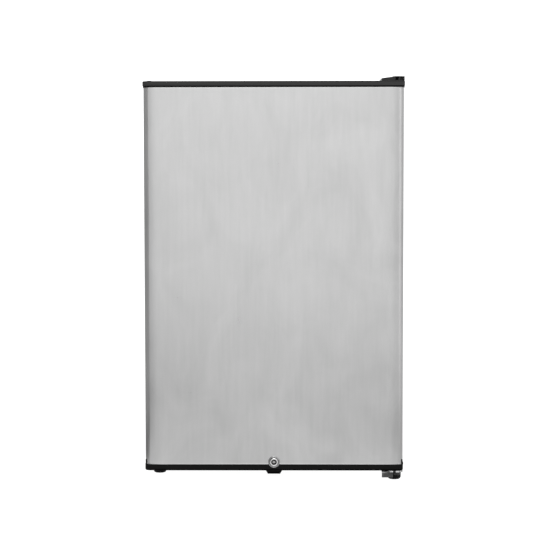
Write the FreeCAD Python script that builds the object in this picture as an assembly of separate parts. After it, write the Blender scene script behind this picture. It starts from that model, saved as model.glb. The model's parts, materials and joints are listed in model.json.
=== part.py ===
"""Compact refrigerator with one hinged stainless door, a freezer box and a rear condenser.

Frame: origin on the floor under the middle of the overall box, +Z up, the door faces -Y and is
hinged at its +X side. All lengths are millimetres. Each sub-part is written to parts/NODE.step.
"""

import FreeCAD, Part
import math
import os

V = FreeCAD.Vector
X, Y, Z = V(1, 0, 0), V(0, 1, 0), V(0, 0, 1)
BOTH = (-1, 1)

# ---------------------------------------------------------------- driving dimensions
DEPTH = 523.0                      # front of the lock to the wall stops
HALF_DEPTH = DEPTH / 2
CAP_HALF = 260.5                   # half the overall width, at the door's upper end cap
LOW_CAP_HALF = 259.4
SKIN_HALF = 258.5                  # half the width of the steel door face
CABINET_HALF = 256.5

LOCK_PROUD = 3.5                   # the lock stands this far in front of the door face
DOOR_FRONT = -HALF_DEPTH + LOCK_PROUD
DOOR_THICK = 46.0
DOOR_BACK = DOOR_FRONT + DOOR_THICK
DOOR_GAP = 12.0                    # door to cabinet, filled by the gasket
CABINET_FRONT = DOOR_BACK + DOOR_GAP
CABINET_BACK = 234.0

DOOR_LOW, DOOR_HIGH = 25.4, 802.9
CAP_LOW_LIP = DOOR_LOW + 12.2      # where the steel face disappears into the lower cap
CAP_HIGH_LIP = DOOR_HIGH - 12.0
CAP_OVERLAP = 2.5                  # the steel runs this far into each cap
CABINET_LOW, CABINET_HIGH = 30.0, 803.5

SHEET = 0.8                        # steel sheet of the door and the cabinet
LINER = 2.0                        # plastic liner wall
FIT = 0.05                         # gap between pieces that touch

CAVITY_HALF = 218.5
CAVITY_LOW, CAVITY_HIGH = 76.0, 761.0
CAVITY_BACK = 192.0
CAVITY_CORNER = 14.0
BAY_FRONT, BAY_HIGH = 77.0, 228.0  # compressor bay, at the back of the cabinet's bottom
HUMP_FRONT, HUMP_HIGH = 38.0, 266.0

HINGE_X, HINGE_Y = 248.0, DOOR_FRONT + 22.0
PIN_R = 4.0
BUSH_R = 6.0
RUNNING = 0.06                     # radial clearance of a turning fit

LOCK_Z = DOOR_LOW + 17.3
LOCK_RING_R = 11.7
LOCK_BORE_R = 8.0

SHELF_LEVELS = {"lower": 272.0, "middle": 382.0, "upper": 490.0}
GLASS = 4.0
SHELF_HALF = 216.0
SHELF_FRONT, SHELF_BACK = -112.0, 176.0
LEDGE_IN = 8.0                     # how far a ledge stands out of the side wall
LEDGE_THICK = 5.0
LEDGE_FRONT, LEDGE_BACK = -148.0, 178.0
TRAY_RIM = 628.0                   # underside of the drip tray's rim

FREEZER_HALF = 200.0
FREEZER_LOW, FREEZER_HIGH = 642.0, 754.0
FREEZER_FRONT, FREEZER_BACK = -48.0, 184.0
FLAP_Y, FLAP_Z = -60.4, 747.0      # hinge axis of the freezer flap

PLATE_LOW = 36.0                   # underside of the compressor plate
COMPRESSOR_X, COMPRESSOR_Y = 70.0, 158.0
COMPRESSOR_R = 62.0

CONDENSER_Y = 247.5
CONDENSER_HALF = 205.0
CONDENSER_LOW, CONDENSER_PITCH, CONDENSER_PASSES = 262.0, 40.0, 13
CONDENSER_R = 2.4
WIRE_R, WIRE_COUNT = 0.7, 52

FOOT_R, FOOT_PAD_HIGH, STUD_R = 13.5, 11.5, 4.0
RIGHT_FOOT = (244.5, HINGE_Y + 28.0)
LEFT_FOOT = (-239.0, -142.0)
REAR_FOOT_X, REAR_FOOT_Y = 215.0, 196.0


# ---------------------------------------------------------------- helpers
def box(x, y, z):
    """The box between the pairs x, y and z, each given as (low, high)."""
    return Part.makeBox(x[1] - x[0], y[1] - y[0], z[1] - z[0], V(x[0], y[0], z[0]))


def wide(half):
    return (-half, half)


def side_box(side, inner, outer, y, z):
    """A box on the side of the X axis that side (-1 or 1) gives, from inner to outer."""
    return box(tuple(sorted((side * inner, side * outer))), y, z)


def cylinder(start, direction, radius, length):
    return Part.makeCylinder(radius, length, V(*start), direction)


def pipe(start, direction, outer, inner, length):
    return cylinder(start, direction, outer, length).cut(cylinder(start, direction, inner, length))


def join(*shapes):
    return shapes[0].multiFuse(list(shapes[1:])).removeSplitter()


def rounded(shape, radius, direction, where=None):
    """Fillets the straight edges along direction whose middle point passes where."""
    picked = []
    for edge in shape.Edges:
        if not isinstance(edge.Curve, Part.Line):
            continue
        if abs(edge.Curve.Direction.dot(direction)) < 0.999:
            continue
        if where is None or where(edge.CenterOfMass):
            picked.append(edge)
    return shape.makeFillet(radius, picked)


def rounded_box(x, y, z, radius, direction=Z):
    return rounded(box(x, y, z), radius, direction)


def prism(points, along):
    """The polygon through points, swept by the vector along."""
    corners = [V(*p) for p in points]
    return Part.Face(Part.makePolygon(corners + corners[:1])).extrude(along)


def turned(profile, centre):
    """The outline of (radius, height) points, turned round the vertical line at centre."""
    points = [V(radius, 0, height) for radius, height in profile]
    face = Part.Face(Part.makePolygon(points + points[:1]))
    solid = face.revolve(V(0, 0, 0), Z, 360)
    solid.translate(V(centre[0], centre[1], 0))
    return solid


def tray(x, y, z, wall, corner):
    """An open-topped bin with rounded upright corners."""
    outer = rounded_box(x, y, z, corner)
    inner = rounded_box(
        (x[0] + wall, x[1] - wall), (y[0] + wall, y[1] - wall), (z[0] + wall, z[1] + 1), corner - wall
    )
    return outer.cut(inner)


def bent_path(points, bend):
    """A wire of straight runs through points, joined by tangent arcs of radius bend."""
    corners = [V(*p) for p in points]
    edges = []
    last = corners[0]
    for before, corner, after in zip(corners, corners[1:], corners[2:]):
        come = (corner - before).normalize()
        leave = (after - corner).normalize()
        half_turn = come.getAngle(leave) / 2
        reach = bend * math.tan(half_turn)
        first, second = corner - come * reach, corner + leave * reach
        inward = (leave - come).normalize()
        middle = corner + inward * (bend / math.cos(half_turn) - bend)
        if (first - last).Length > 1e-6:
            edges.append(Part.LineSegment(last, first).toShape())
        edges.append(Part.Arc(first, middle, second).toShape())
        last = second
    if (corners[-1] - last).Length > 1e-6:
        edges.append(Part.LineSegment(last, corners[-1]).toShape())
    return Part.Wire(edges)


def bent_rod(points, radius, bend):
    """A round rod or tube along points, with bends of radius bend."""
    start, second = V(*points[0]), V(*points[1])
    profile = Part.Wire(Part.makeCircle(radius, start, second - start))
    return bent_path(points, bend).makePipeShell([profile], True, False)


def screw(at, direction, head_r=4.2, head=1.4, shank_r=1.9, shank=9.0):
    """A pan-head screw whose head stands on the point at and faces along direction."""
    head_solid = cylinder(at, direction, head_r, head)
    shank_solid = cylinder(at, direction * -1, shank_r, shank)
    recess = cylinder(V(*at) + direction * (head - 0.7), direction, 1.7, 1.0)
    return join(head_solid, shank_solid).cut(recess)


# ---------------------------------------------------------------- door
def door_block(half, front, back, z, corner):
    block = box(wide(half), (front, back), z)
    return rounded(block, corner, Z, lambda m: m.y < front + 1)


def door_skin():
    corner = 10.0
    z = (CAP_LOW_LIP - CAP_OVERLAP + 0.2, CAP_HIGH_LIP + CAP_OVERLAP - 0.2)
    back = DOOR_BACK - 3.05
    return_width = 9.0
    inside = SKIN_HALF - SHEET
    over = (z[0] - 1, z[1] + 1)
    skin = door_block(SKIN_HALF, DOOR_FRONT, back, z, corner)
    skin = skin.cut(door_block(inside, DOOR_FRONT + SHEET, back + 1, over, corner - SHEET))
    for side in BOTH:
        skin = skin.fuse(side_box(side, inside - return_width, inside, (back - SHEET, back), z))
    skin = skin.removeSplitter()
    # the side returns are notched where the lower cap's ears come up
    for side in BOTH:
        notch = side_box(side, SKIN_HALF - 12, SKIN_HALF + 1, (DOOR_FRONT + 3.8, back + 1), (0, EAR_HIGH))
        skin = skin.cut(notch)
    return skin.cut(cylinder((0, DOOR_FRONT - 5, LOCK_Z), Y, LOCK_RING_R - 1.3, 30))


EAR_HIGH = CAP_LOW_LIP + 10.0
CAP_PROUD = 1.2                    # caps stand this far in front of the steel
CAP_WALL = 4.0


def cap_shell(half, low, high, lip, toward):
    """A cap from low to high whose open side, at lip, faces toward (1 is up, -1 is down)."""
    back = DOOR_BACK - 3.05
    front = DOOR_FRONT - CAP_PROUD
    solid = door_block(half, front, back, (low, high), 11.5)
    edge_z = low if toward > 0 else high
    outer_edges = [
        e
        for e in solid.Edges
        if abs(e.CenterOfMass.z - edge_z) < 0.01 and e.CenterOfMass.y < back - 1
    ]
    solid = solid.makeFillet(1.8, outer_edges)
    seat = tuple(sorted((lip - toward * CAP_OVERLAP, lip + toward * 1)))
    solid = solid.cut(door_block(SKIN_HALF + 0.15, DOOR_FRONT - 0.15, back + 1, seat, 10.1))
    floor = (low + 2.5, lip) if toward > 0 else (lip, high - 2.5)
    pocket = rounded_box(
        wide(SKIN_HALF - CAP_WALL), (DOOR_FRONT + CAP_WALL, back - CAP_WALL), floor, 6.0
    )
    return solid.cut(pocket)


def door_top_cap():
    cap = cap_shell(CAP_HALF, CAP_HIGH_LIP, DOOR_HIGH, CAP_HIGH_LIP, -1)
    low = CAP_HIGH_LIP + CAP_OVERLAP
    for side in BOTH:
        cap = cap.fuse(cylinder((side * HINGE_X, HINGE_Y, low), Z, 9.0, DOOR_HIGH - low - 1))
    cap = cap.removeSplitter()
    cap = cap.cut(cylinder((HINGE_X, HINGE_Y, low - 1), Z, BUSH_R + FIT, 20))
    return cap.cut(cylinder((-HINGE_X, HINGE_Y, low - 1), Z, PLUG_STEM_R + FIT, 20))


PLUG_STEM_R = 3.4
BUMP_HALF_TOP, BUMP_HALF_LOW, BUMP_DROP = 16.5, 12.2, 6.5


def door_bottom_cap():
    cap = cap_shell(LOW_CAP_HALF, DOOR_LOW, CAP_LOW_LIP, CAP_LOW_LIP, 1)
    front = DOOR_FRONT - CAP_PROUD
    back = DOOR_BACK - 3.05
    seat = CAP_LOW_LIP - CAP_OVERLAP
    cap = cap.fuse(cylinder((HINGE_X, HINGE_Y, DOOR_LOW + 1), Z, 9.0, seat - DOOR_LOW - 1))
    bump = prism(
        [
            (-BUMP_HALF_TOP, front + 0.6, DOOR_LOW + 0.5),
            (-BUMP_HALF_LOW, front + 0.6, DOOR_LOW - BUMP_DROP),
            (BUMP_HALF_LOW, front + 0.6, DOOR_LOW - BUMP_DROP),
            (BUMP_HALF_TOP, front + 0.6, DOOR_LOW + 0.5),
        ],
        V(0, 34, 0),
    )
    face = box(wide(BUMP_HALF_TOP + 2), (front, front + 4), (DOOR_LOW + 0.3, CAP_LOW_LIP - CAP_OVERLAP))
    boss = box(wide(15), (DOOR_FRONT + 2, back), (DOOR_LOW + 2, LOCK_Z + 13))
    cap = cap.fuse(bump).fuse(face).fuse(boss)
    for side in BOTH:
        ear_z = (DOOR_LOW + 2, EAR_HIGH - 0.2)
        ear = side_box(side, SKIN_HALF - 6, SKIN_HALF - 2.1, (DOOR_FRONT + 4.2, back), ear_z)
        cap = cap.fuse(ear)
    cap = cap.removeSplitter()
    cap = cap.cut(cylinder((HINGE_X, HINGE_Y, DOOR_LOW - 5), Z, BUSH_R + FIT, 30))
    cap = cap.cut(cylinder((0, front - 5, LOCK_Z), Y, LOCK_RING_R + 0.1, 5 + CAP_PROUD + 2.1))
    return cap.cut(cylinder((0, front - 5, LOCK_Z), Y, LOCK_BORE_R + 1.5 + FIT, 60))


DIKE_HALF = 208.0
DIKE_WALL = 8.0
DIKE_LOW, DIKE_HIGH = CAVITY_LOW + 10, CAVITY_HIGH - 10
DIKE_DEEP, SIDE_DIKE_DEEP = 22.0, 30.0
RACKS = {                          # floor height, top of the front wall, depth from the door's back
    "top": (620.0, 664.0, 52.0),
    "middle": (402.0, 474.0, 84.0),
    "bottom": (106.0, 192.0, 104.0),
}
RACK_HALF = 197.0
GUARD_Z = 236.0


def door_liner():
    root = DOOR_BACK - 1
    flange_z = (DOOR_LOW + 2, DOOR_HIGH - 2)
    flange = rounded_box(wide(SKIN_HALF - 1), (DOOR_BACK - 3, DOOR_BACK), flange_z, 4, Y)
    ring = rounded_box(wide(DIKE_HALF), (root, DOOR_BACK + DIKE_DEEP), (DIKE_LOW, DIKE_HIGH), 16, Y)
    hole = rounded_box(
        wide(DIKE_HALF - DIKE_WALL),
        (DOOR_BACK - 2, DOOR_BACK + DIKE_DEEP + 1),
        (DIKE_LOW + DIKE_WALL, DIKE_HIGH - DIKE_WALL),
        9,
        Y,
    )
    solids = [flange, ring.cut(hole)]
    into_dike = DIKE_HALF - DIKE_WALL + 0.5
    for side in BOTH:
        dike_y = (root, DOOR_BACK + SIDE_DIKE_DEEP)
        dike_z = (DIKE_LOW + 20, DIKE_HIGH - 20)
        dike = side_box(side, DIKE_HALF - DIKE_WALL, DIKE_HALF, dike_y, dike_z)
        dike = rounded(dike, 14, X, lambda m: m.y > DOOR_BACK)
        solids.append(dike)
        for floor, _, _ in RACKS.values():
            lug_y = (root, DOOR_BACK + SIDE_DIKE_DEEP - 6)
            lug = side_box(side, RACK_HALF - 7, into_dike, lug_y, (floor - 9, floor - 0.1))
            solids.append(lug)
        post_z = (GUARD_Z - 8, GUARD_Z + 8)
        solids.append(side_box(side, RACK_HALF - 3, into_dike, (root, DOOR_BACK + 14), post_z))
    liner = join(*solids)
    liner = liner.cut(cylinder((0, DOOR_BACK - 10, LOCK_Z), Y, 10.0, 20))
    for side in BOTH:
        hole_at = (side * (RACK_HALF - 6), DOOR_BACK + 7, GUARD_Z)
        liner = liner.cut(cylinder(hole_at, X * side, GUARD_R + FIT, 8))
    return liner


GUARD_R = 2.0


def bottle_guard():
    """The bent wire that keeps tall bottles on the bottom rack."""
    out = DOOR_BACK + RACKS["bottom"][2] - 6
    end = RACK_HALF - 1
    inner = RACK_HALF - 10
    back = DOOR_BACK + 7
    points = [
        (-end, back, GUARD_Z),
        (-inner, back, GUARD_Z),
        (-inner, out, GUARD_Z),
        (inner, out, GUARD_Z),
        (inner, back, GUARD_Z),
        (end, back, GUARD_Z),
    ]
    return bent_rod(points, GUARD_R, 6.0)


def door_rack(floor, high, deep):
    """A door bin: open on top, with a low back edge and a rolled rim on its front."""
    wall = 2.4
    y = (DOOR_BACK + 0.6, DOOR_BACK + deep)
    bin_ = box(wide(RACK_HALF), y, (floor, high))
    bin_ = rounded(bin_, 22, Z, lambda m: m.y > y[1] - 1)
    inner = box(wide(RACK_HALF - wall), (y[0] + wall, y[1] - wall), (floor + wall, high + 1))
    inner = rounded(inner, 22 - wall, Z, lambda m: m.y > y[1] - wall - 1)
    rim = box(wide(RACK_HALF + 1.6), (y[0], y[1] + 1.6), (high - 5, high))
    rim = rounded(rim, 23.6, Z, lambda m: m.y > y[1])
    bin_ = join(bin_, rim).cut(inner)
    back_cut = box(wide(RACK_HALF - 30), (y[0] - 1, y[0] + wall + 1), (floor + 14, high + 1))
    return bin_.cut(back_cut)


def door_foam():
    back = DOOR_BACK - 3.05 - SHEET - 0.1
    z = (CAP_LOW_LIP + 0.4, CAP_HIGH_LIP + CAP_OVERLAP - 0.4)
    foam = door_block(SKIN_HALF - SHEET - 0.1, DOOR_FRONT + SHEET + 0.1, back, z, 9.0)
    foam = foam.cut(box(wide(15.2), (DOOR_FRONT, back + 1), (0, LOCK_Z + 13.2)))
    for side in BOTH:
        ear_room = side_box(side, SKIN_HALF - 6.2, SKIN_HALF, (DOOR_FRONT + 3.0, back + 1), (0, EAR_HIGH))
        foam = foam.cut(ear_room)
    return foam


GASKET_HALF = 250.0
GASKET_WIDE = 14.0
GASKET_LOW, GASKET_HIGH = 58.0, 789.0


def gasket_ring(inset, y):
    outer = rounded_box(
        wide(GASKET_HALF - inset), y, (GASKET_LOW + inset, GASKET_HIGH - inset), 9, Y
    )
    width = GASKET_WIDE - 2 * inset
    inner = rounded_box(
        wide(GASKET_HALF - inset - width),
        (y[0] - 1, y[1] + 1),
        (GASKET_LOW + inset + width, GASKET_HIGH - inset - width),
        3,
        Y,
    )
    return outer.cut(inner)


def door_gasket():
    """A magnetic seal: a wide foot, a narrow bellows waist and a magnet bulb."""
    foot = gasket_ring(0, (DOOR_BACK + FIT, DOOR_BACK + 3))
    waist = gasket_ring(3, (DOOR_BACK + 3, DOOR_BACK + 6))
    bulb = gasket_ring(1, (DOOR_BACK + 6, CABINET_FRONT - 0.4))
    return join(foot, waist, bulb)


def hinge_bushes():
    upper_low = CAP_HIGH_LIP + CAP_OVERLAP + 0.1
    upper = join(
        cylinder((HINGE_X, HINGE_Y, upper_low), Z, BUSH_R, DOOR_HIGH + FIT - upper_low),
        cylinder((HINGE_X, HINGE_Y, DOOR_HIGH + FIT), Z, 9.0, HINGE_PLATE[0] - DOOR_HIGH - 2 * FIT),
    )
    lower = join(
        cylinder((HINGE_X, HINGE_Y, BRACKET_HIGH + FIT), Z, 9.0, DOOR_LOW - BRACKET_HIGH - 2 * FIT),
        cylinder((HINGE_X, HINGE_Y, DOOR_LOW - FIT), Z, BUSH_R, 8.5),
    )
    bore = cylinder((HINGE_X, HINGE_Y, 0), Z, PIN_R + RUNNING, 900)
    return Part.makeCompound([upper.cut(bore), lower.cut(bore)])


def hinge_hole_plug():
    head = cylinder((-HINGE_X, HINGE_Y, DOOR_HIGH + FIT), Z, 4.8, 1.9)
    rim = [e for e in head.Edges if e.CenterOfMass.z > DOOR_HIGH + 1.5 and e.Length > 20]
    head = head.makeFillet(1.2, rim)
    return join(head, cylinder((-HINGE_X, HINGE_Y, DOOR_HIGH - 7), Z, PLUG_STEM_R, 7.5))


# ---------------------------------------------------------------- lock
CAM_Y = DOOR_BACK + 5.5
CAM_THICK = 2.0
CAM_LONG = 21.0


def lock_body():
    """The fixed sleeve with its face ring."""
    front = DOOR_FRONT - 2.5
    ring = cylinder((0, front, LOCK_Z), Y, LOCK_RING_R, DOOR_FRONT - FIT - front)
    ring = ring.makeFillet(0.9, [e for e in ring.Edges if e.CenterOfMass.y < front + 0.1 and e.Length > 30])
    sleeve = cylinder((0, front + 1, LOCK_Z), Y, LOCK_BORE_R + 1.5, DOOR_BACK - 1 - front)
    return join(ring, sleeve).cut(cylinder((0, front - 1, LOCK_Z), Y, LOCK_BORE_R, 60))


def lock_cylinder():
    """The turning barrel: a bright rim round a sunken key plug with an upright keyway."""
    front = -HALF_DEPTH
    barrel_r = LOCK_BORE_R - RUNNING
    barrel = cylinder((0, front, LOCK_Z), Y, barrel_r, DOOR_BACK + 1.5 - front)
    rim = [e for e in barrel.Edges if e.CenterOfMass.y < front + 0.1 and e.Length > 30]
    barrel = barrel.makeFillet(1.0, rim)
    shaft = cylinder((0, DOOR_BACK + 1, LOCK_Z), Y, PIN_R, CABINET_FRONT - 2.5 - DOOR_BACK - 1)
    barrel = join(barrel, shaft)
    barrel = barrel.cut(cylinder((0, front - 1, LOCK_Z), Y, 5.4, 3.4))
    barrel = barrel.fuse(cylinder((0, front + 0.8, LOCK_Z), Y, 2.3, 2.0)).removeSplitter()
    keyway = box(wide(0.7), (front - 1, front + 9), (LOCK_Z - 4.2, LOCK_Z + 2.0))
    return barrel.cut(keyway)


def lock_cam():
    """The hooked plate on the barrel's end; it points down when the door is unlocked."""
    y = (CAM_Y, CAM_Y + CAM_THICK)
    hub = cylinder((0, CAM_Y, LOCK_Z), Y, 8.0, CAM_THICK)
    arm = rounded(
        box(wide(6), y, (LOCK_Z - CAM_LONG, LOCK_Z)), 3.0, Y, lambda m: m.z < LOCK_Z - 10
    )
    nut = cylinder((0, CAM_Y + CAM_THICK, LOCK_Z), Y, 5.6, 1.6)
    cam = join(hub, arm, nut)
    return cam.cut(cylinder((0, CAM_Y - 1, LOCK_Z), Y, PIN_R + FIT / 2, 10))


STRIKE_X = (-34.0, -12.0)
STRIKE_Z = (34.5, 50.5)
STRIKE_LIP = DOOR_BACK + 2.5


def lock_strike():
    """A C-shaped catch on the cabinet; the cam swings up behind its lip."""
    base = box(STRIKE_X, (CABINET_FRONT - 1.5, CABINET_FRONT - FIT), STRIKE_Z)
    web = box((STRIKE_X[0], STRIKE_X[0] + 1.5), (STRIKE_LIP, CABINET_FRONT - FIT), STRIKE_Z)
    lip = box((STRIKE_X[0], STRIKE_X[1] - 4), (STRIKE_LIP, STRIKE_LIP + 1.5), STRIKE_Z)
    strike = join(base, web, lip)
    for z in STRIKE_SCREWS:
        strike = strike.cut(cylinder((-24, CABINET_FRONT - 5, z), Y, 1.9 + FIT, 6))
    return strike


STRIKE_SCREWS = (39.0, 46.0)


# ---------------------------------------------------------------- cabinet shell
def outer_wrapper():
    """One sheet over the top and both sides, with a narrow flange round the front."""
    corner = 6.0
    y = (CABINET_FRONT, CABINET_BACK)
    z = (CABINET_LOW, CABINET_HIGH)
    at_top = lambda m: m.z > CABINET_HIGH - 10
    outer = rounded(box(wide(CABINET_HALF), y, z), corner, Y, at_top)
    room = box(
        wide(CABINET_HALF - SHEET), (y[0] - 1, y[1] + 1), (z[0] - 1, z[1] - SHEET)
    )
    room = rounded(room, corner - SHEET, Y, at_top)
    opening = box(wide(FLANGE_HALF), (y[0] - 1, y[0] + 2), (z[0] - 1, FLANGE_HIGH))
    flange = rounded(box(wide(CABINET_HALF), (y[0], y[0] + SHEET), z), corner, Y, at_top)
    return join(outer.cut(room), flange.cut(opening))


FLANGE_HALF = CABINET_HALF - 22.0
FLANGE_HIGH = CABINET_HIGH - 22.0
RAIL_HIGH = 62.0


def back_panel():
    inside = SHEET + 0.1
    z = (BAY_HIGH + 0.1, CABINET_HIGH - inside)
    panel = box(wide(CABINET_HALF - inside), (CABINET_BACK - SHEET, CABINET_BACK), z)
    panel = rounded(panel, 5.4, Y, lambda m: m.z > CABINET_HIGH - 10)
    swages = []
    for side in BOTH:
        swage_z = (BAY_HIGH + 40, CABINET_HIGH - 60)
        swages.append(side_box(side, 226, 238, (CABINET_BACK - 0.2, CABINET_BACK + 2.2), swage_z))
    return join(panel, *[rounded(s, 1.6, Z, lambda m: m.y > CABINET_BACK + 1) for s in swages])


def base_pan():
    """The folded sheet under the cabinet and round the compressor bay."""
    half = CABINET_HALF - SHEET - 0.1
    floor = box(wide(half), (CABINET_FRONT + SHEET + 0.1, BAY_FRONT), (CABINET_LOW, CABINET_LOW + SHEET))
    rail = box(wide(FLANGE_HALF - 0.1), (CABINET_FRONT, CABINET_FRONT + SHEET), (CABINET_LOW, RAIL_HIGH))
    foot_of_rail = box(
        wide(FLANGE_HALF - 0.1), (CABINET_FRONT, CABINET_FRONT + 4), (CABINET_LOW, CABINET_LOW + SHEET)
    )
    wall = box(wide(half), (BAY_FRONT - SHEET, BAY_FRONT), (CABINET_LOW, BAY_HIGH))
    ceiling = box(wide(half), (BAY_FRONT - SHEET, CABINET_BACK), (BAY_HIGH - SHEET, BAY_HIGH))
    boss = cylinder((*LEFT_FOOT, 17.0), Z, 9.0, CABINET_LOW + SHEET - 17.0)
    pan = join(floor, rail, foot_of_rail, wall, ceiling, boss)
    pan = pan.cut(cylinder((*LEFT_FOOT, 0), Z, STUD_R + RUNNING, 60))
    for x, y in BAY_PIPE_HOLES:
        pan = pan.cut(cylinder((x, y, BAY_HIGH - 5), Z, 5.0, 10))
    return pan.cut(cylinder((DRAIN_X, DRAIN_Y, BAY_HIGH - 5), Z, DRAIN_R + 0.5, 10))


def cavity(grow):
    """The space inside the liner, or the liner's outside when grow is its wall."""
    half = CAVITY_HALF + grow
    front = CABINET_FRONT - 60
    upper = box(wide(half), (front, CAVITY_BACK + grow), (HUMP_HIGH - grow, CAVITY_HIGH + grow))
    lower = box(wide(half), (front, HUMP_FRONT + grow), (CAVITY_LOW - grow, HUMP_HIGH + 40))
    space = join(upper, lower)
    corner = CAVITY_CORNER + grow
    space = rounded(space, corner, Y, lambda m: abs(m.z - (HUMP_HIGH - grow)) > 1)
    space = rounded(space, corner - 2, X, lambda m: m.y > HUMP_FRONT - 5 and not at_hump_edge(m, grow))
    return space


def at_hump_edge(point, grow):
    return abs(point.z - (HUMP_HIGH - grow)) < 1 and abs(point.y - (HUMP_FRONT + grow)) < 1


def inner_liner():
    """The moulded tub, with its front flange and the shelf ledges on both sides."""
    flange_z = (RAIL_HIGH + 0.1, FLANGE_HIGH - 0.1)
    flange = rounded_box(wide(FLANGE_HALF - 0.1), (CABINET_FRONT, CABINET_FRONT + LINER), flange_z, 3, Y)
    rear_limit = box(wide(400), (CABINET_FRONT, 400), (0, 900))
    tub = cavity(LINER).common(rear_limit)
    solids = [flange, tub]
    liner = join(*solids).cut(cavity(0))
    ledges = [TRAY_RIM, *SHELF_LEVELS.values()]
    for top in ledges:
        for side in BOTH:
            ledge = side_box(
                side,
                CAVITY_HALF - LEDGE_IN,
                CAVITY_HALF + 1,
                (LEDGE_FRONT, LEDGE_BACK),
                (top - LEDGE_THICK, top - FIT),
            )
            ledge = rounded(ledge, 1.8, Y, lambda m: abs(m.x) < CAVITY_HALF - 1)
            liner = liner.fuse(ledge)
    liner = liner.removeSplitter()
    return liner.cut(cylinder((DRAIN_X, DRAIN_Y, HUMP_HIGH - 20), Z, DRAIN_R + 0.5, 40))


def foam_insulation():
    """The foam between the wrapper and the liner, as flat slabs that meet face to face."""
    skin = SHEET + 0.1
    outer = CABINET_HALF - skin
    inner = CAVITY_HALF + LINER + FIT
    front, back = CABINET_FRONT + LINER + 0.1, CABINET_BACK - skin
    low, high = CABINET_LOW + skin, CABINET_HIGH - skin
    floor, ceiling = CAVITY_LOW - LINER - FIT, CAVITY_HIGH + LINER + FIT
    rear = CAVITY_BACK + LINER + FIT
    step_front, step_high = HUMP_FRONT + LINER + FIT, HUMP_HIGH - LINER - FIT
    bay_front, bay_high = BAY_FRONT - SHEET - 0.1, BAY_HIGH + 0.1
    slabs = [
        box(wide(inner), (front, rear), (ceiling, high)),
        box(wide(inner), (front, bay_front), (low, floor)),
        box(wide(inner), (step_front, bay_front), (floor, bay_high)),
        box(wide(inner), (step_front, rear), (bay_high, step_high)),
        box(wide(outer), (rear, back), (bay_high, high)),
    ]
    for side in BOTH:
        slabs.append(side_box(side, inner, outer, (front, bay_front), (low, bay_high)))
        slabs.append(side_box(side, inner, outer, (front, rear), (bay_high, high)))
    holes = [cylinder((*LEFT_FOOT, 0), Z, 6.0, 50)]
    holes += [cylinder((x, y, BAY_HIGH - 5), Z, 5.0, 25) for x, y in BAY_PIPE_HOLES]
    holes.append(cylinder((DRAIN_X, DRAIN_Y, BAY_HIGH - 5), Z, DRAIN_R + 0.5, 60))
    limit = box(wide(outer), (front, back), (low, high))
    limit = rounded(limit, 5.4, Y, lambda m: m.z > CABINET_HIGH - 10)
    tools = Part.makeCompound(holes)
    return Part.makeCompound([slab.common(limit).cut(tools).Solids[0] for slab in slabs])


BAY_PIPE_HOLES = ((-62.0, 118.0), (-110.0, 118.0))


# ---------------------------------------------------------------- inside the cabinet
def shelf_glass(level):
    plate = box(wide(SHELF_HALF), (SHELF_FRONT + 6, SHELF_BACK - 6), (level, level + GLASS))
    return rounded(plate, 1.5, X)


def shelf_trims():
    """The plastic profiles on the front and rear edges of each glass shelf."""
    solids = []
    for name, level in SHELF_LEVELS.items():
        top = level + GLASS + (0 if name == "lower" else 3)
        low = level - LEDGE_THICK
        edge = SHELF_FRONT
        for y in ((edge, edge + 12), (SHELF_BACK - 12, SHELF_BACK)):
            bar = box(wide(CAVITY_HALF - LEDGE_IN - 1.5), y, (low, top))
            bar = rounded(bar, 2.0, X, lambda m: m.y < SHELF_FRONT + 1 or m.y > SHELF_BACK - 1)
            glass_y = (SHELF_FRONT + 6 - FIT, SHELF_BACK - 6 + FIT)
            groove = box(wide(SHELF_HALF), glass_y, (level - FIT, level + GLASS + FIT))
            solids.append(bar.cut(groove))
    return Part.makeCompound(solids)


FREEZER_SHEET = 1.6


def evaporator_box():
    """The roll-bonded aluminium sleeve that freezes, open at the front."""
    y = (FREEZER_FRONT, FREEZER_BACK)
    z = (FREEZER_LOW, FREEZER_HIGH)
    outer = rounded_box(wide(FREEZER_HALF), y, z, 9, Y)
    inner = rounded_box(
        wide(FREEZER_HALF - FREEZER_SHEET),
        (y[0] - 1, y[1] - FREEZER_SHEET),
        (z[0] + FREEZER_SHEET, z[1] - FREEZER_SHEET),
        9 - FREEZER_SHEET,
        Y,
    )
    return outer.cut(inner)


def evaporator_hangers():
    blocks = []
    for side in BOTH:
        for y in (-20, 150):
            block = side_box(side, 150, 180, (y - 12, y + 12), (FREEZER_HIGH + FIT, CAVITY_HIGH - FIT))
            blocks.append(rounded(block, 4, Z))
    return Part.makeCompound(blocks)


FLAP_HALF = 196.0
FLAP_THICK = 8.0
FLAP_PIN_R = 2.5


def freezer_frame():
    y = (FREEZER_FRONT - 8, FREEZER_FRONT - FIT)
    outer = rounded_box(wide(206), y, (636, 759.5), 10, Y)
    opening = rounded_box(wide(188), (y[0] - 1, y[1] + 1), (652, 746), 4, Y)
    frame = outer.cut(opening)
    for side in BOTH:
        ear = side_box(side, 199, 206, (FLAP_Y - 7, y[0] + 1), (FLAP_Z - 8, FLAP_Z + 9))
        ear = rounded(ear, 5, X, lambda m: m.y < FLAP_Y)
        frame = frame.fuse(ear)
    frame = frame.removeSplitter()
    return frame.cut(cylinder((-210, FLAP_Y, FLAP_Z), X, FLAP_PIN_R + RUNNING, 420))


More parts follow.
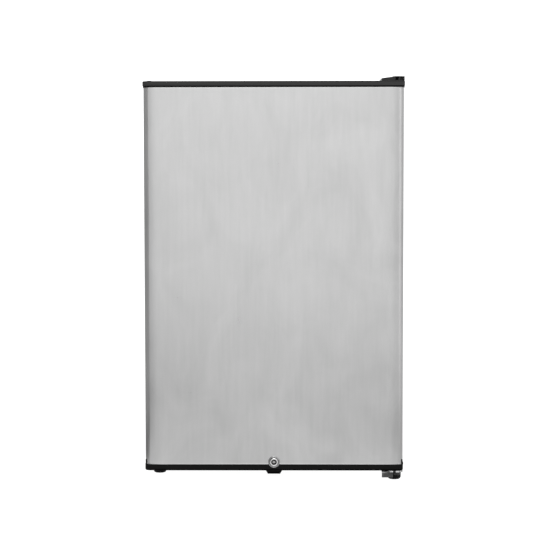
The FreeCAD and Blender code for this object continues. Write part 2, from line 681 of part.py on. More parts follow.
def freezer_flap():
    """The freezer's door, hung from two pins along its top edge."""
    half = FLAP_THICK / 2
    low = 641.0
    panel = box(wide(FLAP_HALF), (FLAP_Y - half, FLAP_Y + half), (low, FLAP_Z))
    top = cylinder((-FLAP_HALF, FLAP_Y, FLAP_Z), X, half, 2 * FLAP_HALF)
    recess = rounded_box(
        wide(FLAP_HALF - 16), (FLAP_Y + half - 3, FLAP_Y + half + 1), (low + 14, FLAP_Z - 14), 8, Y
    )
    field = rounded_box(
        wide(FLAP_HALF - 14), (FLAP_Y - half - 1, FLAP_Y - half + 1.2), (low + 22, FLAP_Z - 12), 8, Y
    )
    grip = box(wide(60), (FLAP_Y - half - 7, FLAP_Y - half + 1), (low, low + 4))
    grip = rounded(grip, 5, Z, lambda m: m.y < FLAP_Y - half - 5)
    pin = cylinder((-204.5, FLAP_Y, FLAP_Z), X, FLAP_PIN_R, 409)
    return join(panel, top, grip, pin).cut(recess).cut(field)


def drip_tray():
    """The meltwater tray under the freezer; its rims run on the top ledges."""
    body = tray(wide(203), (-58, 160), (606, TRAY_RIM + 2), 2.0, 12)
    solids = [body]
    for side in BOTH:
        rim = side_box(side, 202, 215, (-58 + 14, 160 - 14), (TRAY_RIM + FIT, TRAY_RIM + 2))
        solids.append(rim)
    lip = rounded_box(wide(70), (-65, -57), (TRAY_RIM - 3, TRAY_RIM + 2), 3)
    return join(*solids, lip)


def chill_drawer():
    """The bin under the middle shelf; it slides on the lower glass."""
    level = SHELF_LEVELS["lower"] + GLASS + 0.4
    high = SHELF_LEVELS["middle"] - LEDGE_THICK - 3
    body = tray(wide(205), (-84, 168), (level, high), 2.4, 14)
    front = rounded_box(wide(206), (-88, -82), (level, high), 2.0, Z)
    grip = rounded_box(wide(70), (-95, -87), (high - 24, high - 18), 3, Z)
    return join(body, front, grip)


THERMO_X = (184.0, CAVITY_HALF - FIT)
THERMO_Y = (-150.0, -18.0)
THERMO_Z = (514.0, 599.0)
KNOB_Y, KNOB_Z, KNOB_R = -116.0, 556.0, 18.0
LENS_Y = (-86.0, -30.0)
LENS_Z = (527.0, 586.0)


def thermostat_housing():
    """The control box on the right wall, open towards the wall."""
    outer = rounded(box(THERMO_X, THERMO_Y, THERMO_Z), 8, Z, lambda m: m.x < THERMO_X[0] + 1)
    inner = box(
        (THERMO_X[0] + 2.2, THERMO_X[1] + 1),
        (THERMO_Y[0] + 2.2, THERMO_Y[1] - 2.2),
        (THERMO_Z[0] + 2.2, THERMO_Z[1] - 2.2),
    )
    inner = rounded(inner, 6, Z, lambda m: m.x < THERMO_X[0] + 3)
    shell = outer.cut(inner)
    shell = shell.cut(cylinder((THERMO_X[0] - 5, KNOB_Y, KNOB_Z), X, 3.0 + RUNNING, 20))
    window = rounded_box((THERMO_X[0] - 1, THERMO_X[0] + 4), LENS_Y, LENS_Z, 6, X)
    return shell.cut(window)


def thermostat_body():
    block = rounded_box((196, 214), (KNOB_Y - 16, KNOB_Y + 16), (KNOB_Z - 20, KNOB_Z + 20), 3)
    neck = cylinder((188, KNOB_Y, KNOB_Z), X, 7.0, 9)
    return join(block, neck).cut(cylinder((187, KNOB_Y, KNOB_Z), X, 3.0 + RUNNING, 15))


def thermostat_knob():
    x0 = THERMO_X[0] - 0.5
    skirt = cylinder((x0, KNOB_Y, KNOB_Z), X * -1, KNOB_R, 4)
    skirt = skirt.makeFillet(1.2, [e for e in skirt.Edges if e.CenterOfMass.x < x0 - 3.9 and e.Length > 30])
    grip = cylinder((x0 - 3, KNOB_Y, KNOB_Z), X * -1, 13.0, 13)
    grip = grip.makeFillet(1.5, [e for e in grip.Edges if e.CenterOfMass.x < x0 - 15.9 and e.Length > 30])
    flutes = []
    for i in range(18):
        angle = math.radians(20 * i)
        at = (x0 - 4, KNOB_Y + 13.6 * math.cos(angle), KNOB_Z + 13.6 * math.sin(angle))
        flutes.append(cylinder(at, X * -1, 1.3, 14))
    stem = cylinder((x0, KNOB_Y, KNOB_Z), X, 3.0, 12)
    pointer = box((x0 - 17, x0 - 15.5), (KNOB_Y - 0.8, KNOB_Y + 0.8), (KNOB_Z + 3, KNOB_Z + 11))
    knob = join(skirt, grip, stem)
    return knob.cut(Part.makeCompound(flutes)).cut(pointer)


def lamp_lens():
    x = (THERMO_X[0] - 5, THERMO_X[0] + 1.8)
    y = (LENS_Y[0] + 0.2, LENS_Y[1] - 0.2)
    z = (LENS_Z[0] + 0.2, LENS_Z[1] - 0.2)
    outer = rounded_box(x, y, z, 5.8, X)
    dome = [e for e in outer.Edges if e.CenterOfMass.x < x[0] + 0.01]
    outer = outer.makeFillet(3.0, dome)
    inner = rounded_box((x[0] + 1.8, x[1] + 1), (y[0] + 1.8, y[1] - 1.8), (z[0] + 1.8, z[1] - 1.8), 4.0, X)
    return outer.cut(inner)


def lamp_bulb():
    profile = [
        (0, -16.5), (4.5, -15.3), (7.4, -12.2), (8.5, -8), (7.4, -3.8), (5.5, -1), (5.5, 7), (7, 7),
        (7, 19), (0, 19),
    ]
    bulb = turned(profile, (0, 0))
    bulb.rotate(V(0, 0, 0), X, -90)
    bulb.translate(V(198, sum(LENS_Y) / 2, sum(LENS_Z) / 2))
    return bulb


# ---------------------------------------------------------------- compressor bay and condenser
def compressor_plate():
    """The pressed cross plate that carries the compressor, the rear feet and the cord's gland."""
    half = CABINET_HALF - SHEET - 0.2
    y = (BAY_FRONT + 8, CABINET_BACK - 4)
    floor = box(wide(half), y, (PLATE_LOW, PLATE_LOW + 2))
    solids = [floor]
    for side in BOTH:
        solids.append(side_box(side, half - 2, half, y, (PLATE_LOW, PLATE_LOW + 22)))
    solids.append(box(wide(half), (y[1] - 2, y[1]), (PLATE_LOW, PLATE_LOW + 12)))
    solids.append(box(wide(half), (y[0], y[0] + 2), (PLATE_LOW, PLATE_LOW + 12)))
    tab = box((GLAND_X - 18, GLAND_X + 18), (y[1] - 2, y[1]), (PLATE_LOW, GLAND_Z + 18))
    solids.append(rounded(tab, 8, Y, lambda m: m.z > GLAND_Z))
    plate = join(*solids)
    for x, y_ in compressor_bolt_places():
        plate = plate.cut(cylinder((x, y_, PLATE_LOW - 5), Z, BOLT_R + 0.2, 20))
    for side in BOTH:
        plate = plate.cut(cylinder((side * REAR_FOOT_X, REAR_FOOT_Y, PLATE_LOW - 5), Z, 3.2, 20))
    return plate.cut(cylinder((GLAND_X, y[1] - 10, GLAND_Z), Y, GLAND_R + FIT, 20))


GLAND_X, GLAND_Z, GLAND_R = -205.0, 84.0, 8.0
GLAND_BORE_R = 4.2
GLAND_Y = (218.0, 240.0)
BOLT_R = 3.0


def compressor_bolt_places():
    return [(COMPRESSOR_X + sx * 80, COMPRESSOR_Y + sy * 46) for sx in BOTH for sy in BOTH]


def cord_gland():
    """The bush that the mains cord would pass through."""
    tab_back = CABINET_BACK - 4
    sleeve = cylinder((GLAND_X, GLAND_Y[0], GLAND_Z), Y, GLAND_R, GLAND_Y[1] - GLAND_Y[0])
    collar = cylinder((GLAND_X, tab_back + FIT, GLAND_Z), Y, GLAND_R + 4, 3)
    nut = cylinder((GLAND_X, tab_back - 2 - FIT - 4, GLAND_Z), Y, GLAND_R + 3, 4)
    gland = join(sleeve, collar, nut)
    return gland.cut(cylinder((GLAND_X, GLAND_Y[0] - 1, GLAND_Z), Y, GLAND_BORE_R, 40))


def rear_feet():
    feet = []
    for side in BOTH:
        at = (side * REAR_FOOT_X, REAR_FOOT_Y)
        top = PLATE_LOW - FIT
        profile = [(0, 0), (12.5, 0), (15, 3), (15, 9), (11, 13), (11, top), (0, top)]
        stem = cylinder((*at, PLATE_LOW - 1), Z, 3.0, 8)
        feet.append(join(turned(profile, at), stem))
    return Part.makeCompound(feet)


SHELL_SPLIT = 118.0
SHELL_WALL = 3.0


def compressor_lower_shell():
    """The lower half of the sealed shell, with its welded foot plate."""
    low = 58.0
    r = COMPRESSOR_R
    inner = r - SHELL_WALL
    profile = [
        (0, low), (r - 22, low), (r - 8, low + 5), (r - 1, low + 14), (r, low + 22), (r, SHELL_SPLIT),
        (inner, SHELL_SPLIT), (inner, low + 23), (r - 11, low + 9), (r - 24, low + SHELL_WALL),
        (0, low + SHELL_WALL),
    ]
    shell = turned(profile, (COMPRESSOR_X, COMPRESSOR_Y))
    solids = [shell]
    for sy in BOTH:
        y = COMPRESSOR_Y + sy * 46
        arm = box((COMPRESSOR_X - 94, COMPRESSOR_X + 94), (y - 12, y + 12), (52, 54.5))
        solids.append(rounded(arm, 10, Z))
    saddle_y = (COMPRESSOR_Y - 50, COMPRESSOR_Y + 50)
    solids.append(box((COMPRESSOR_X - 30, COMPRESSOR_X + 30), saddle_y, (52, low + 1)))
    lower = join(*solids)
    for x, y in compressor_bolt_places():
        lower = lower.cut(cylinder((x, y, 50), Z, GROMMET_NECK_R + FIT, 8))
    return lower


GROMMET_NECK_R = 6.0


def compressor_upper_shell():
    high = 192.0
    r = COMPRESSOR_R + 2.2
    split = SHELL_SPLIT - 8
    inner = COMPRESSOR_R - SHELL_WALL
    seam = COMPRESSOR_R + FIT
    profile = [
        (seam, split), (r, split), (r, high - 30), (r - 3, high - 18), (r - 14, high - 6),
        (r - 34, high), (0, high), (0, high - SHELL_WALL), (r - 35, high - SHELL_WALL),
        (r - 16, high - 9), (r - 6, high - 20), (inner, high - 30), (inner, SHELL_SPLIT + FIT),
        (seam, SHELL_SPLIT + FIT),
    ]
    return turned(profile, (COMPRESSOR_X, COMPRESSOR_Y))


def compressor_grommets():
    rubbers = []
    for at in compressor_bolt_places():
        bore = BOLT_R + FIT
        low = PLATE_LOW + 2 + FIT
        profile = [
            (bore, low), (11, low), (11, 43), (8.5, 45), (11, 47), (11, 51.9), (GROMMET_NECK_R, 51.9),
            (GROMMET_NECK_R, 54.6), (10, 54.6), (10, 58), (bore, 58),
        ]
        rubbers.append(turned(profile, at))
    return Part.makeCompound(rubbers)


def compressor_bolts():
    bolts = []
    for at in compressor_bolt_places():
        profile = [
            (0, PLATE_LOW - 5), (6, PLATE_LOW - 5), (6, PLATE_LOW - FIT), (BOLT_R, PLATE_LOW - FIT),
            (BOLT_R, 58.1), (8, 58.1), (8, 59.6), (5, 59.6), (5, 63.5), (BOLT_R, 63.5), (BOLT_R, 66),
            (0, 66),
        ]
        bolts.append(turned(profile, at))
    return Part.makeCompound(bolts)


def terminal_cover():
    """The box over the relay and terminals, on the compressor's left side."""
    x = (COMPRESSOR_X - COMPRESSOR_R - 34, COMPRESSOR_X - 52)
    cover = rounded_box(x, (COMPRESSOR_Y - 26, COMPRESSOR_Y + 26), (68, 108), 4)
    body = cylinder((COMPRESSOR_X, COMPRESSOR_Y, 60), Z, COMPRESSOR_R + 0.2, 60)
    return cover.cut(body)


def evaporation_tray():
    x = (COMPRESSOR_X - 70, COMPRESSOR_X + 70)
    y = (COMPRESSOR_Y - 58, COMPRESSOR_Y + 58)
    return tray(x, y, (192 + FIT, 214), 2.0, 12)


DRAIN_X, DRAIN_Y, DRAIN_R = COMPRESSOR_X - 30, 140.0, 6.0


def drain_tube():
    """Carries meltwater from the step in the liner to the tray on the compressor."""
    low, high = 204.0, HUMP_HIGH - LINER + 2.2
    tube = pipe((DRAIN_X, DRAIN_Y, low), Z, DRAIN_R, DRAIN_R - 1.5, high - low)
    collar = pipe((DRAIN_X, DRAIN_Y, high - 0.1), Z, DRAIN_R + 4, DRAIN_R - 1.5, 1.2)
    return join(tube, collar)


TUBE_R = 3.0
CONDENSER_RIGHT = CONDENSER_HALF + 22
CONDENSER_HIGH = CONDENSER_LOW + CONDENSER_PITCH * (CONDENSER_PASSES - 1)


def discharge_tube():
    """Hot gas, from the compressor to the condenser's top end."""
    x, y = COMPRESSOR_X + COMPRESSOR_R, COMPRESSOR_Y
    end = (CONDENSER_RIGHT, CONDENSER_Y)
    points = [
        (x + FIT, y, 96), (x + 44, y, 96), (x + 44, y, 150), (CONDENSER_RIGHT, y, 150),
        (*end, 150), (*end, CONDENSER_HIGH - 26),
    ]
    return bent_rod(points, TUBE_R, 13.0)


def condenser_tube():
    """One long tube in level passes, joined by round bends."""
    start = (CONDENSER_RIGHT, CONDENSER_Y)
    points = [(*start, CONDENSER_HIGH - 26 + FIT), (*start, CONDENSER_HIGH)]
    end = CONDENSER_HALF
    for i in range(CONDENSER_PASSES):
        z = CONDENSER_HIGH - i * CONDENSER_PITCH
        start_side = 1 if i % 2 == 0 else -1
        if i:
            points.append((start_side * end, CONDENSER_Y, z))
        if i < CONDENSER_PASSES - 1:
            points.append((-start_side * end, CONDENSER_Y, z))
    points.append((-CONDENSER_RIGHT, CONDENSER_Y, CONDENSER_LOW))
    points.append((-CONDENSER_RIGHT, CONDENSER_Y, CONDENSER_LOW - 26))
    return bent_rod(points, CONDENSER_R, CONDENSER_PITCH / 2 - 0.01)


def condenser_wires():
    """The cooling wires welded across both sides of the tube."""
    wires = []
    low, high = CONDENSER_LOW - 14, CONDENSER_HIGH + 14
    pitch = 2 * (CONDENSER_HALF - 22) / (WIRE_COUNT - 1)
    for side in BOTH:
        y = CONDENSER_Y + side * (CONDENSER_R + WIRE_R + 0.15)
        for i in range(WIRE_COUNT):
            x = -CONDENSER_HALF + 22 + i * pitch
            wires.append(cylinder((x, y, low), Z, WIRE_R, high - low))
    return Part.makeCompound(wires)


BRACKET_LEVELS = (CONDENSER_LOW + 1.5 * CONDENSER_PITCH, CONDENSER_HIGH - 1.5 * CONDENSER_PITCH)


def condenser_brackets():
    """Four clips that hold the condenser off the back, each with a wall stop."""
    clips = []
    for side in BOTH:
        for z in BRACKET_LEVELS:
            foot = side_box(side, 192, 224, (CABINET_BACK + FIT, CABINET_BACK + 2), (z - 9, z + 9))
            post = side_box(side, 210, 220, (CABINET_BACK + 1, HALF_DEPTH), (z - 6, z + 6))
            post = rounded(post, 2.5, X, lambda m: m.y > HALF_DEPTH - 1)
            arm = side_box(
                side,
                CONDENSER_HALF - 13.9 - (CONDENSER_PITCH / 2 - 20),
                212,
                (CABINET_BACK + 5, CABINET_BACK + 8),
                (z - 4, z + 4),
            )
            clips.append(join(foot, post, arm).cut(cylinder((side * 198, 200, z), Y, 2.0 + FIT, 60)))
    return Part.makeCompound(clips)


def suction_tube():
    """Cold gas, from the insulated wall back to the compressor."""
    x, y = BAY_PIPE_HOLES[0]
    start = COMPRESSOR_X - COMPRESSOR_R - 2.2
    stub_y = COMPRESSOR_Y - 8
    points = [(start, stub_y, 146), (x, stub_y, 146), (x, y, 146), (x, y, BAY_HIGH + 14)]
    return bent_rod(points, 3.2, 14.0)


DRIER_X, DRIER_Y, DRIER_R = -150.0, 196.0, 9.0
DRIER_Z = (92.0, 186.0)


def filter_drier():
    low, high = DRIER_Z
    neck = 3.4
    profile = [
        (0, low), (neck, low), (neck, low + 10), (DRIER_R, low + 18), (DRIER_R, high - 18),
        (neck, high - 10), (neck, high), (0, high),
    ]
    return turned(profile, (DRIER_X, DRIER_Y))


def liquid_tube():
    """Warm liquid, from the condenser's bottom end to the drier."""
    x, level = -CONDENSER_RIGHT, 206.0
    points = [
        (x, CONDENSER_Y, CONDENSER_LOW - 26 - FIT), (x, CONDENSER_Y, level), (x, DRIER_Y, level),
        (DRIER_X, DRIER_Y, level), (DRIER_X, DRIER_Y, DRIER_Z[1] + FIT),
    ]
    return bent_rod(points, CONDENSER_R, 9.0)


def capillary_tube():
    """The thin metering tube from the drier back into the insulated wall."""
    x, y = BAY_PIPE_HOLES[1]
    points = [
        (DRIER_X, DRIER_Y, DRIER_Z[0] - FIT), (DRIER_X, DRIER_Y, 72), (DRIER_X, 150, 72), (x, 150, 72),
        (x, 150, 130), (x, y, 130), (x, y, BAY_HIGH + 14),
    ]
    return bent_rod(points, 1.2, 9.0)


# ---------------------------------------------------------------- hinges, feet and screws
BRACKET_LOW, BRACKET_HIGH = 20.0, 23.0
HINGE_PLATE = (CABINET_HIGH + FIT, CABINET_HIGH + 2.5)
TOP_SCREWS = ((228.0, -182.0), (246.0, -168.0))
LOW_SCREWS = ((226.0, -176.0), (226.0, -146.0))


def upper_hinge_bracket():
    """The plate on the cabinet's top with the upper pin riveted in it."""
    plate = box((221.5, 257.5), (HINGE_Y - 7, -152), HINGE_PLATE)
    plate = rounded(plate, 7, Z)
    pin_low = CAP_HIGH_LIP + CAP_OVERLAP + 1
    pin = cylinder((HINGE_X, HINGE_Y, pin_low), Z, PIN_R, HINGE_PLATE[1] - pin_low)
    rivet = cylinder((HINGE_X, HINGE_Y, HINGE_PLATE[1] - 0.5), Z, 6.0, 2.0)
    bracket = join(plate, pin, rivet)
    for x, y in TOP_SCREWS:
        bracket = bracket.cut(cylinder((x, y, 790), Z, 1.9 + FIT, 30))
    return bracket


COVER_HIGH = 812.6
COVER_STEP = 808.8                 # the cover's low left edge and front
COVER_WALL = 1.6


def cover_shape(inset):
    """The hinge cover's outside, or its inside when inset is the wall."""
    low = HINGE_PLATE[0] - (5 if inset else 0)
    left, right = 214.3 + inset, CAP_HALF - 0.5 - inset
    top, step = COVER_HIGH - inset, COVER_STEP - inset
    front, back = HINGE_Y - 9 + inset, HINGE_Y + 92 - inset
    outline = [(left, low), (left, step), (243.5, top), (right, top), (right, low)]
    wedge = prism([(x, front, z) for x, z in outline], V(0, back - front, 0))
    boss = cylinder((HINGE_X, HINGE_Y, low), Z, 12.0 - inset, top - low)
    return join(wedge, boss)


def upper_hinge_cover():
    cover = cover_shape(0).cut(cover_shape(COVER_WALL))
    for angle in (-150, -120, -90, -60, -30):
        a = math.radians(angle)
        at = (HINGE_X + 12.2 * math.cos(a), HINGE_Y + 12.2 * math.sin(a), 808.6)
        cover = cover.cut(cylinder(at, Z, 0.8, 10))
    return cover


def lower_hinge_bracket():
    """The joggled plate under the cabinet: it carries the lower pin and the right foot."""
    front = box((217, 259.5), (HINGE_Y - 13, CABINET_FRONT + 4), (BRACKET_LOW, BRACKET_HIGH))
    front = rounded(front, 9, Z, lambda m: m.x > 250 and m.y < HINGE_Y)
    riser = box((206, 252), (CABINET_FRONT + 1, CABINET_FRONT + 4), (BRACKET_LOW, CABINET_LOW - FIT))
    rear = box((206, 252), (CABINET_FRONT + 1, -128), (CABINET_LOW - 3, CABINET_LOW - FIT))
    rib = box((217, 239), (HINGE_Y - 13, HINGE_Y - 10.5), (BRACKET_LOW - 10.3, BRACKET_LOW + 1))
    pin = cylinder((HINGE_X, HINGE_Y, 12), Z, PIN_R, 23.2)
    sixths = [math.radians(60 * i) for i in range(6)]
    corners = [(HINGE_X + 8 * math.cos(a), HINGE_Y + 8 * math.sin(a), 14) for a in sixths]
    nut = prism(corners, V(0, 0, 6.5))
    bracket = join(front, riser, rear, rib, pin, nut)
    bracket = bracket.cut(cylinder((*RIGHT_FOOT, 0), Z, STUD_R + RUNNING, 40))
    for x, y in LOW_SCREWS:
        bracket = bracket.cut(cylinder((x, y, 15), Z, 1.9 + FIT, 30))
    return bracket


def levelling_foot(at, stud_high):
    """A moulded pad on a threaded stud."""
    pad = FOOT_PAD_HIGH
    collar = pad + 2.2
    profile = [
        (0, 0), (10.2, 0), (12.2, 1.4), (13.2, 3.4), (FOOT_R, 5.6), (FOOT_R, pad), (7, pad),
        (7, collar), (STUD_R, collar), (STUD_R, stud_high), (0, stud_high),
    ]
    return turned(profile, at)


BACK_SCREW_LEVELS = (CABINET_HIGH - 24, BAY_HIGH + 12)


def cabinet_screws():
    screws = [screw((x, y, HINGE_PLATE[1] + FIT), Z) for x, y in TOP_SCREWS]
    screws += [screw((x, y, CABINET_LOW - 3 - FIT), Z * -1) for x, y in LOW_SCREWS]
    strike_face = CABINET_FRONT - 1.5 - FIT
    screws += [screw((-24, strike_face, z), Y * -1, head_r=3.2, head=1.2) for z in STRIKE_SCREWS]
    for z in BACK_SCREW_LEVELS:
        for i in range(5):
            screws.append(screw((-200 + 100 * i, CABINET_BACK + FIT, z), Y))
    for side in BOTH:
        for z in BRACKET_LEVELS:
            screws.append(screw((side * 198, CABINET_BACK + 2 + FIT, z), Y))
    return Part.makeCompound(screws)


def screw_clearance(shape):
    """The shape with a hole for each cabinet screw's shank."""
    holes = [cylinder((x, y, 780), Z, 2.0, 40) for x, y in TOP_SCREWS]
    holes += [cylinder((x, y, 20), Z, 2.0, 24) for x, y in LOW_SCREWS]
    holes += [cylinder((-24, CABINET_FRONT - 5, z), Y, 2.0, 20) for z in STRIKE_SCREWS]
    for z in BACK_SCREW_LEVELS:
        holes += [cylinder((-200 + 100 * i, CABINET_BACK - 15, z), Y, 2.0, 20) for i in range(5)]
    for side in BOTH:
        holes += [cylinder((side * 198, CABINET_BACK - 15, z), Y, 2.0, 20) for z in BRACKET_LEVELS]
    return shape.cut(Part.makeCompound(holes))


# ---------------------------------------------------------------- build
def build():
    parts = {
        "outer_wrapper": screw_clearance(outer_wrapper()),
        "back_panel": screw_clearance(back_panel()),
        "base_pan": screw_clearance(base_pan()),
        "foam_insulation": screw_clearance(foam_insulation()),
        "inner_liner": inner_liner(),
        "compressor_plate": compressor_plate(),
        "rear_feet": rear_feet(),
        "compressor_lower_shell": compressor_lower_shell(),
        "compressor_upper_shell": compressor_upper_shell(),
        "compressor_grommets": compressor_grommets(),
        "compressor_bolts": compressor_bolts(),
        "terminal_cover": terminal_cover(),
        "evaporation_tray": evaporation_tray(),
        "drain_tube": drain_tube(),
        "discharge_tube": discharge_tube(),
        "suction_tube": suction_tube(),
        "liquid_tube": liquid_tube(),
        "filter_drier": filter_drier(),
        "capillary_tube": capillary_tube(),
        "condenser_tube": condenser_tube(),
        "condenser_wires": condenser_wires(),
        "condenser_brackets": condenser_brackets(),
        "cabinet_screws": cabinet_screws(),
        "cord_gland": cord_gland(),
        "evaporator_box": evaporator_box(),
        "evaporator_hangers": evaporator_hangers(),
        "freezer_frame": freezer_frame(),
        "shelf_trims": shelf_trims(),
        "thermostat_housing": thermostat_housing(),
        "thermostat_body": thermostat_body(),
        "lamp_lens": lamp_lens(),
        "lamp_bulb": lamp_bulb(),
        "upper_hinge_bracket": upper_hinge_bracket(),
        "upper_hinge_cover": upper_hinge_cover(),
        "lower_hinge_bracket": lower_hinge_bracket(),
        "lock_strike": lock_strike(),
        "door_skin": door_skin(),
        "door_top_cap": door_top_cap(),
        "door_bottom_cap": door_bottom_cap(),
        "door_liner": door_liner(),
        "door_foam": door_foam(),
        "door_gasket": door_gasket(),
        "bottle_guard": bottle_guard(),
        "hinge_bushes": hinge_bushes(),
        "hinge_hole_plug": hinge_hole_plug(),
        "lock_body": lock_body(),
        "lock_cylinder": lock_cylinder(),
        "lock_cam": lock_cam(),
        "freezer_flap": freezer_flap(),
        "drip_tray": drip_tray(),
        "chill_drawer": chill_drawer(),
        "thermostat_knob": thermostat_knob(),
        "front_left_foot": levelling_foot(LEFT_FOOT, 44.0),
        "front_right_foot": levelling_foot(RIGHT_FOOT, 24.4),
    }
    for name, level in SHELF_LEVELS.items():
        parts[f"shelf_glass_{name}"] = shelf_glass(level)
    for name, sizes in RACKS.items():
        parts[f"door_rack_{name}"] = door_rack(*sizes)
    return parts


def main():
    os.makedirs("parts", exist_ok=True)
    for name, shape in build().items():
        count = len(shape.Solids)
        sound = shape.isValid() and all(s.isClosed() and s.Volume > 0 for s in shape.Solids)
        print(f"{name}: {count} solid(s), {shape.Volume / 1000:.1f} cm3{'' if sound else '  NOT SOUND'}")
        shape.exportStep(f"parts/{name}.step")


main()
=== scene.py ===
"""Looks of the compact refrigerator: materials, finished pieces, floor, light and camera.

Everything is in metres in the row frame: the floor is z = 0, the door faces -Y, its hinge is at +X.
"""
import json
import math

import bmesh
import bpy
from mathutils import Matrix, Vector


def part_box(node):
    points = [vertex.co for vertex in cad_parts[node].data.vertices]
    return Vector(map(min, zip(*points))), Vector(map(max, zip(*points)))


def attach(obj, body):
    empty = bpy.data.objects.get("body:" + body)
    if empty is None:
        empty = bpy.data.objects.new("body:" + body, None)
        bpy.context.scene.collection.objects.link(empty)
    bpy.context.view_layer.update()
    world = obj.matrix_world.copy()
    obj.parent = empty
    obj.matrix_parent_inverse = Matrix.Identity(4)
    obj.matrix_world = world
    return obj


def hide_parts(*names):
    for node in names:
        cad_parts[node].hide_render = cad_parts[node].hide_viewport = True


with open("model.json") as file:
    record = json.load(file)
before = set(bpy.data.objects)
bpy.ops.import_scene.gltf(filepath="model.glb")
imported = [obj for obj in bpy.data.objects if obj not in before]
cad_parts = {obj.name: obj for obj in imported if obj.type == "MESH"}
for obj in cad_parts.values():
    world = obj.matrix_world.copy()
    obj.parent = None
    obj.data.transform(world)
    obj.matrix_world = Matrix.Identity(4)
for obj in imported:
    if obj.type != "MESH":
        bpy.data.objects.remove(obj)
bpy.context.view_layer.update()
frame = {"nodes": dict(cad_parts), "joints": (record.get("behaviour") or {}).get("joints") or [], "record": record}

NODES = frame["nodes"]
MM = 0.001
PLAIN_COORDINATES = "Object"       # every CAD node's object sits at the frame's origin


# ---------------------------------------------------------------- node helpers
class Recipe:
    """A material's node tree, with short calls for the nodes that the recipes below share."""

    def __init__(self, name, base, roughness, metallic=0.0, **shader):
        self.material = bpy.data.materials.new(name)
        self.material.use_nodes = True
        self.tree = self.material.node_tree
        self.shader = self.tree.nodes["Principled BSDF"]
        self.set("Base Color", (*base, 1.0))
        self.set("Roughness", roughness)
        self.set("Metallic", metallic)
        for socket, value in shader.items():
            self.set(socket.replace("_", " "), value)
        self.coordinates = self.tree.nodes.new("ShaderNodeTexCoord").outputs[PLAIN_COORDINATES]

    def set(self, socket, value):
        self.shader.inputs[socket].default_value = value

    def link(self, output, socket):
        self.tree.links.new(output, self.shader.inputs[socket])

    def stretched(self, scale):
        """The coordinates multiplied by scale, so that noise can run long in one direction."""
        node = self.tree.nodes.new("ShaderNodeMapping")
        node.inputs["Scale"].default_value = scale
        self.tree.links.new(self.coordinates, node.inputs["Vector"])
        return node.outputs["Vector"]

    def noise(self, scale, detail=3.0, stretch=(1, 1, 1), rough=0.5, distortion=0.0):
        node = self.tree.nodes.new("ShaderNodeTexNoise")
        node.inputs["Scale"].default_value = scale
        node.inputs["Detail"].default_value = detail
        node.inputs["Roughness"].default_value = rough
        node.inputs["Distortion"].default_value = distortion
        self.tree.links.new(self.stretched(stretch), node.inputs["Vector"])
        return node.outputs["Fac"]

    def cells(self, scale, output="Distance"):
        node = self.tree.nodes.new("ShaderNodeTexVoronoi")
        node.inputs["Scale"].default_value = scale
        self.tree.links.new(self.coordinates, node.inputs["Vector"])
        return node.outputs[output]

    def spread(self, value, low, high, start=0.3, end=0.7):
        """value, from start to end, spread over low to high."""
        node = self.tree.nodes.new("ShaderNodeMapRange")
        node.inputs["From Min"].default_value = start
        node.inputs["From Max"].default_value = end
        node.inputs["To Min"].default_value = low
        node.inputs["To Max"].default_value = high
        self.tree.links.new(value, node.inputs["Value"])
        return node.outputs["Result"]

    def between(self, value, first, second, start=0.3, end=0.7):
        """A colour from first to second as value goes from start to end."""
        node = self.tree.nodes.new("ShaderNodeValToRGB")
        ramp = node.color_ramp
        ramp.elements[0].position = start
        ramp.elements[0].color = (*first, 1.0)
        ramp.elements[1].position = end
        ramp.elements[1].color = (*second, 1.0)
        self.tree.links.new(value, node.inputs["Fac"])
        return node.outputs["Color"]

    def maths(self, operation, first, second):
        node = self.tree.nodes.new("ShaderNodeMath")
        node.operation = operation
        for socket, value in zip(node.inputs, (first, second)):
            if isinstance(value, (int, float)):
                socket.default_value = value
            else:
                self.tree.links.new(value, socket)
        return node.outputs["Value"]

    def height(self):
        """The height above the floor in metres."""
        position = self.tree.nodes.new("ShaderNodeNewGeometry").outputs["Position"]
        split = self.tree.nodes.new("ShaderNodeSeparateXYZ")
        self.tree.links.new(position, split.inputs["Vector"])
        return split.outputs["Z"]

    def steepness(self):
        """1 on upright faces, 0 on level ones."""
        normal = self.tree.nodes.new("ShaderNodeNewGeometry").outputs["Normal"]
        split = self.tree.nodes.new("ShaderNodeSeparateXYZ")
        self.tree.links.new(normal, split.inputs["Vector"])
        return self.maths("SUBTRACT", 1.0, self.maths("ABSOLUTE", split.outputs["Z"], 0.0))

    def bump(self, height, strength, distance=0.001, under=None):
        node = self.tree.nodes.new("ShaderNodeBump")
        node.inputs["Strength"].default_value = strength
        node.inputs["Distance"].default_value = distance
        self.tree.links.new(height, node.inputs["Height"])
        if under is not None:
            self.tree.links.new(under, node.inputs["Normal"])
        self.link(node.outputs["Normal"], "Normal")
        return node.outputs["Normal"]


# ---------------------------------------------------------------- materials
def shade(level, tint=(1.0, 1.0, 1.0)):
    """A grey of that level, with a tint."""
    return tuple(level * t for t in tint)


def stainless():
    """Upright brushed steel: fine streaks, and faint smudges where the sheet took up oil."""
    steel = Recipe("stainless", shade(0.46), 0.3, metallic=1.0, Anisotropic=0.5)
    grain = steel.noise(1.0, 4.0, stretch=(2600, 2600, 18), rough=0.65)
    streaks = steel.noise(1.0, 3.0, stretch=(130, 130, 11), distortion=0.3)
    smudges = steel.noise(11.0, 5.0, stretch=(1, 1, 0.7), distortion=0.9)
    mixed = steel.maths("ADD", steel.maths("MULTIPLY", streaks, 0.3), steel.maths("MULTIPLY", smudges, 0.7))
    steel.link(steel.between(mixed, shade(0.424), shade(0.500)), "Base Color")
    steel.link(steel.spread(mixed, 0.27, 0.35), "Roughness")
    steel.bump(grain, 0.05, 0.0002)
    return steel.material


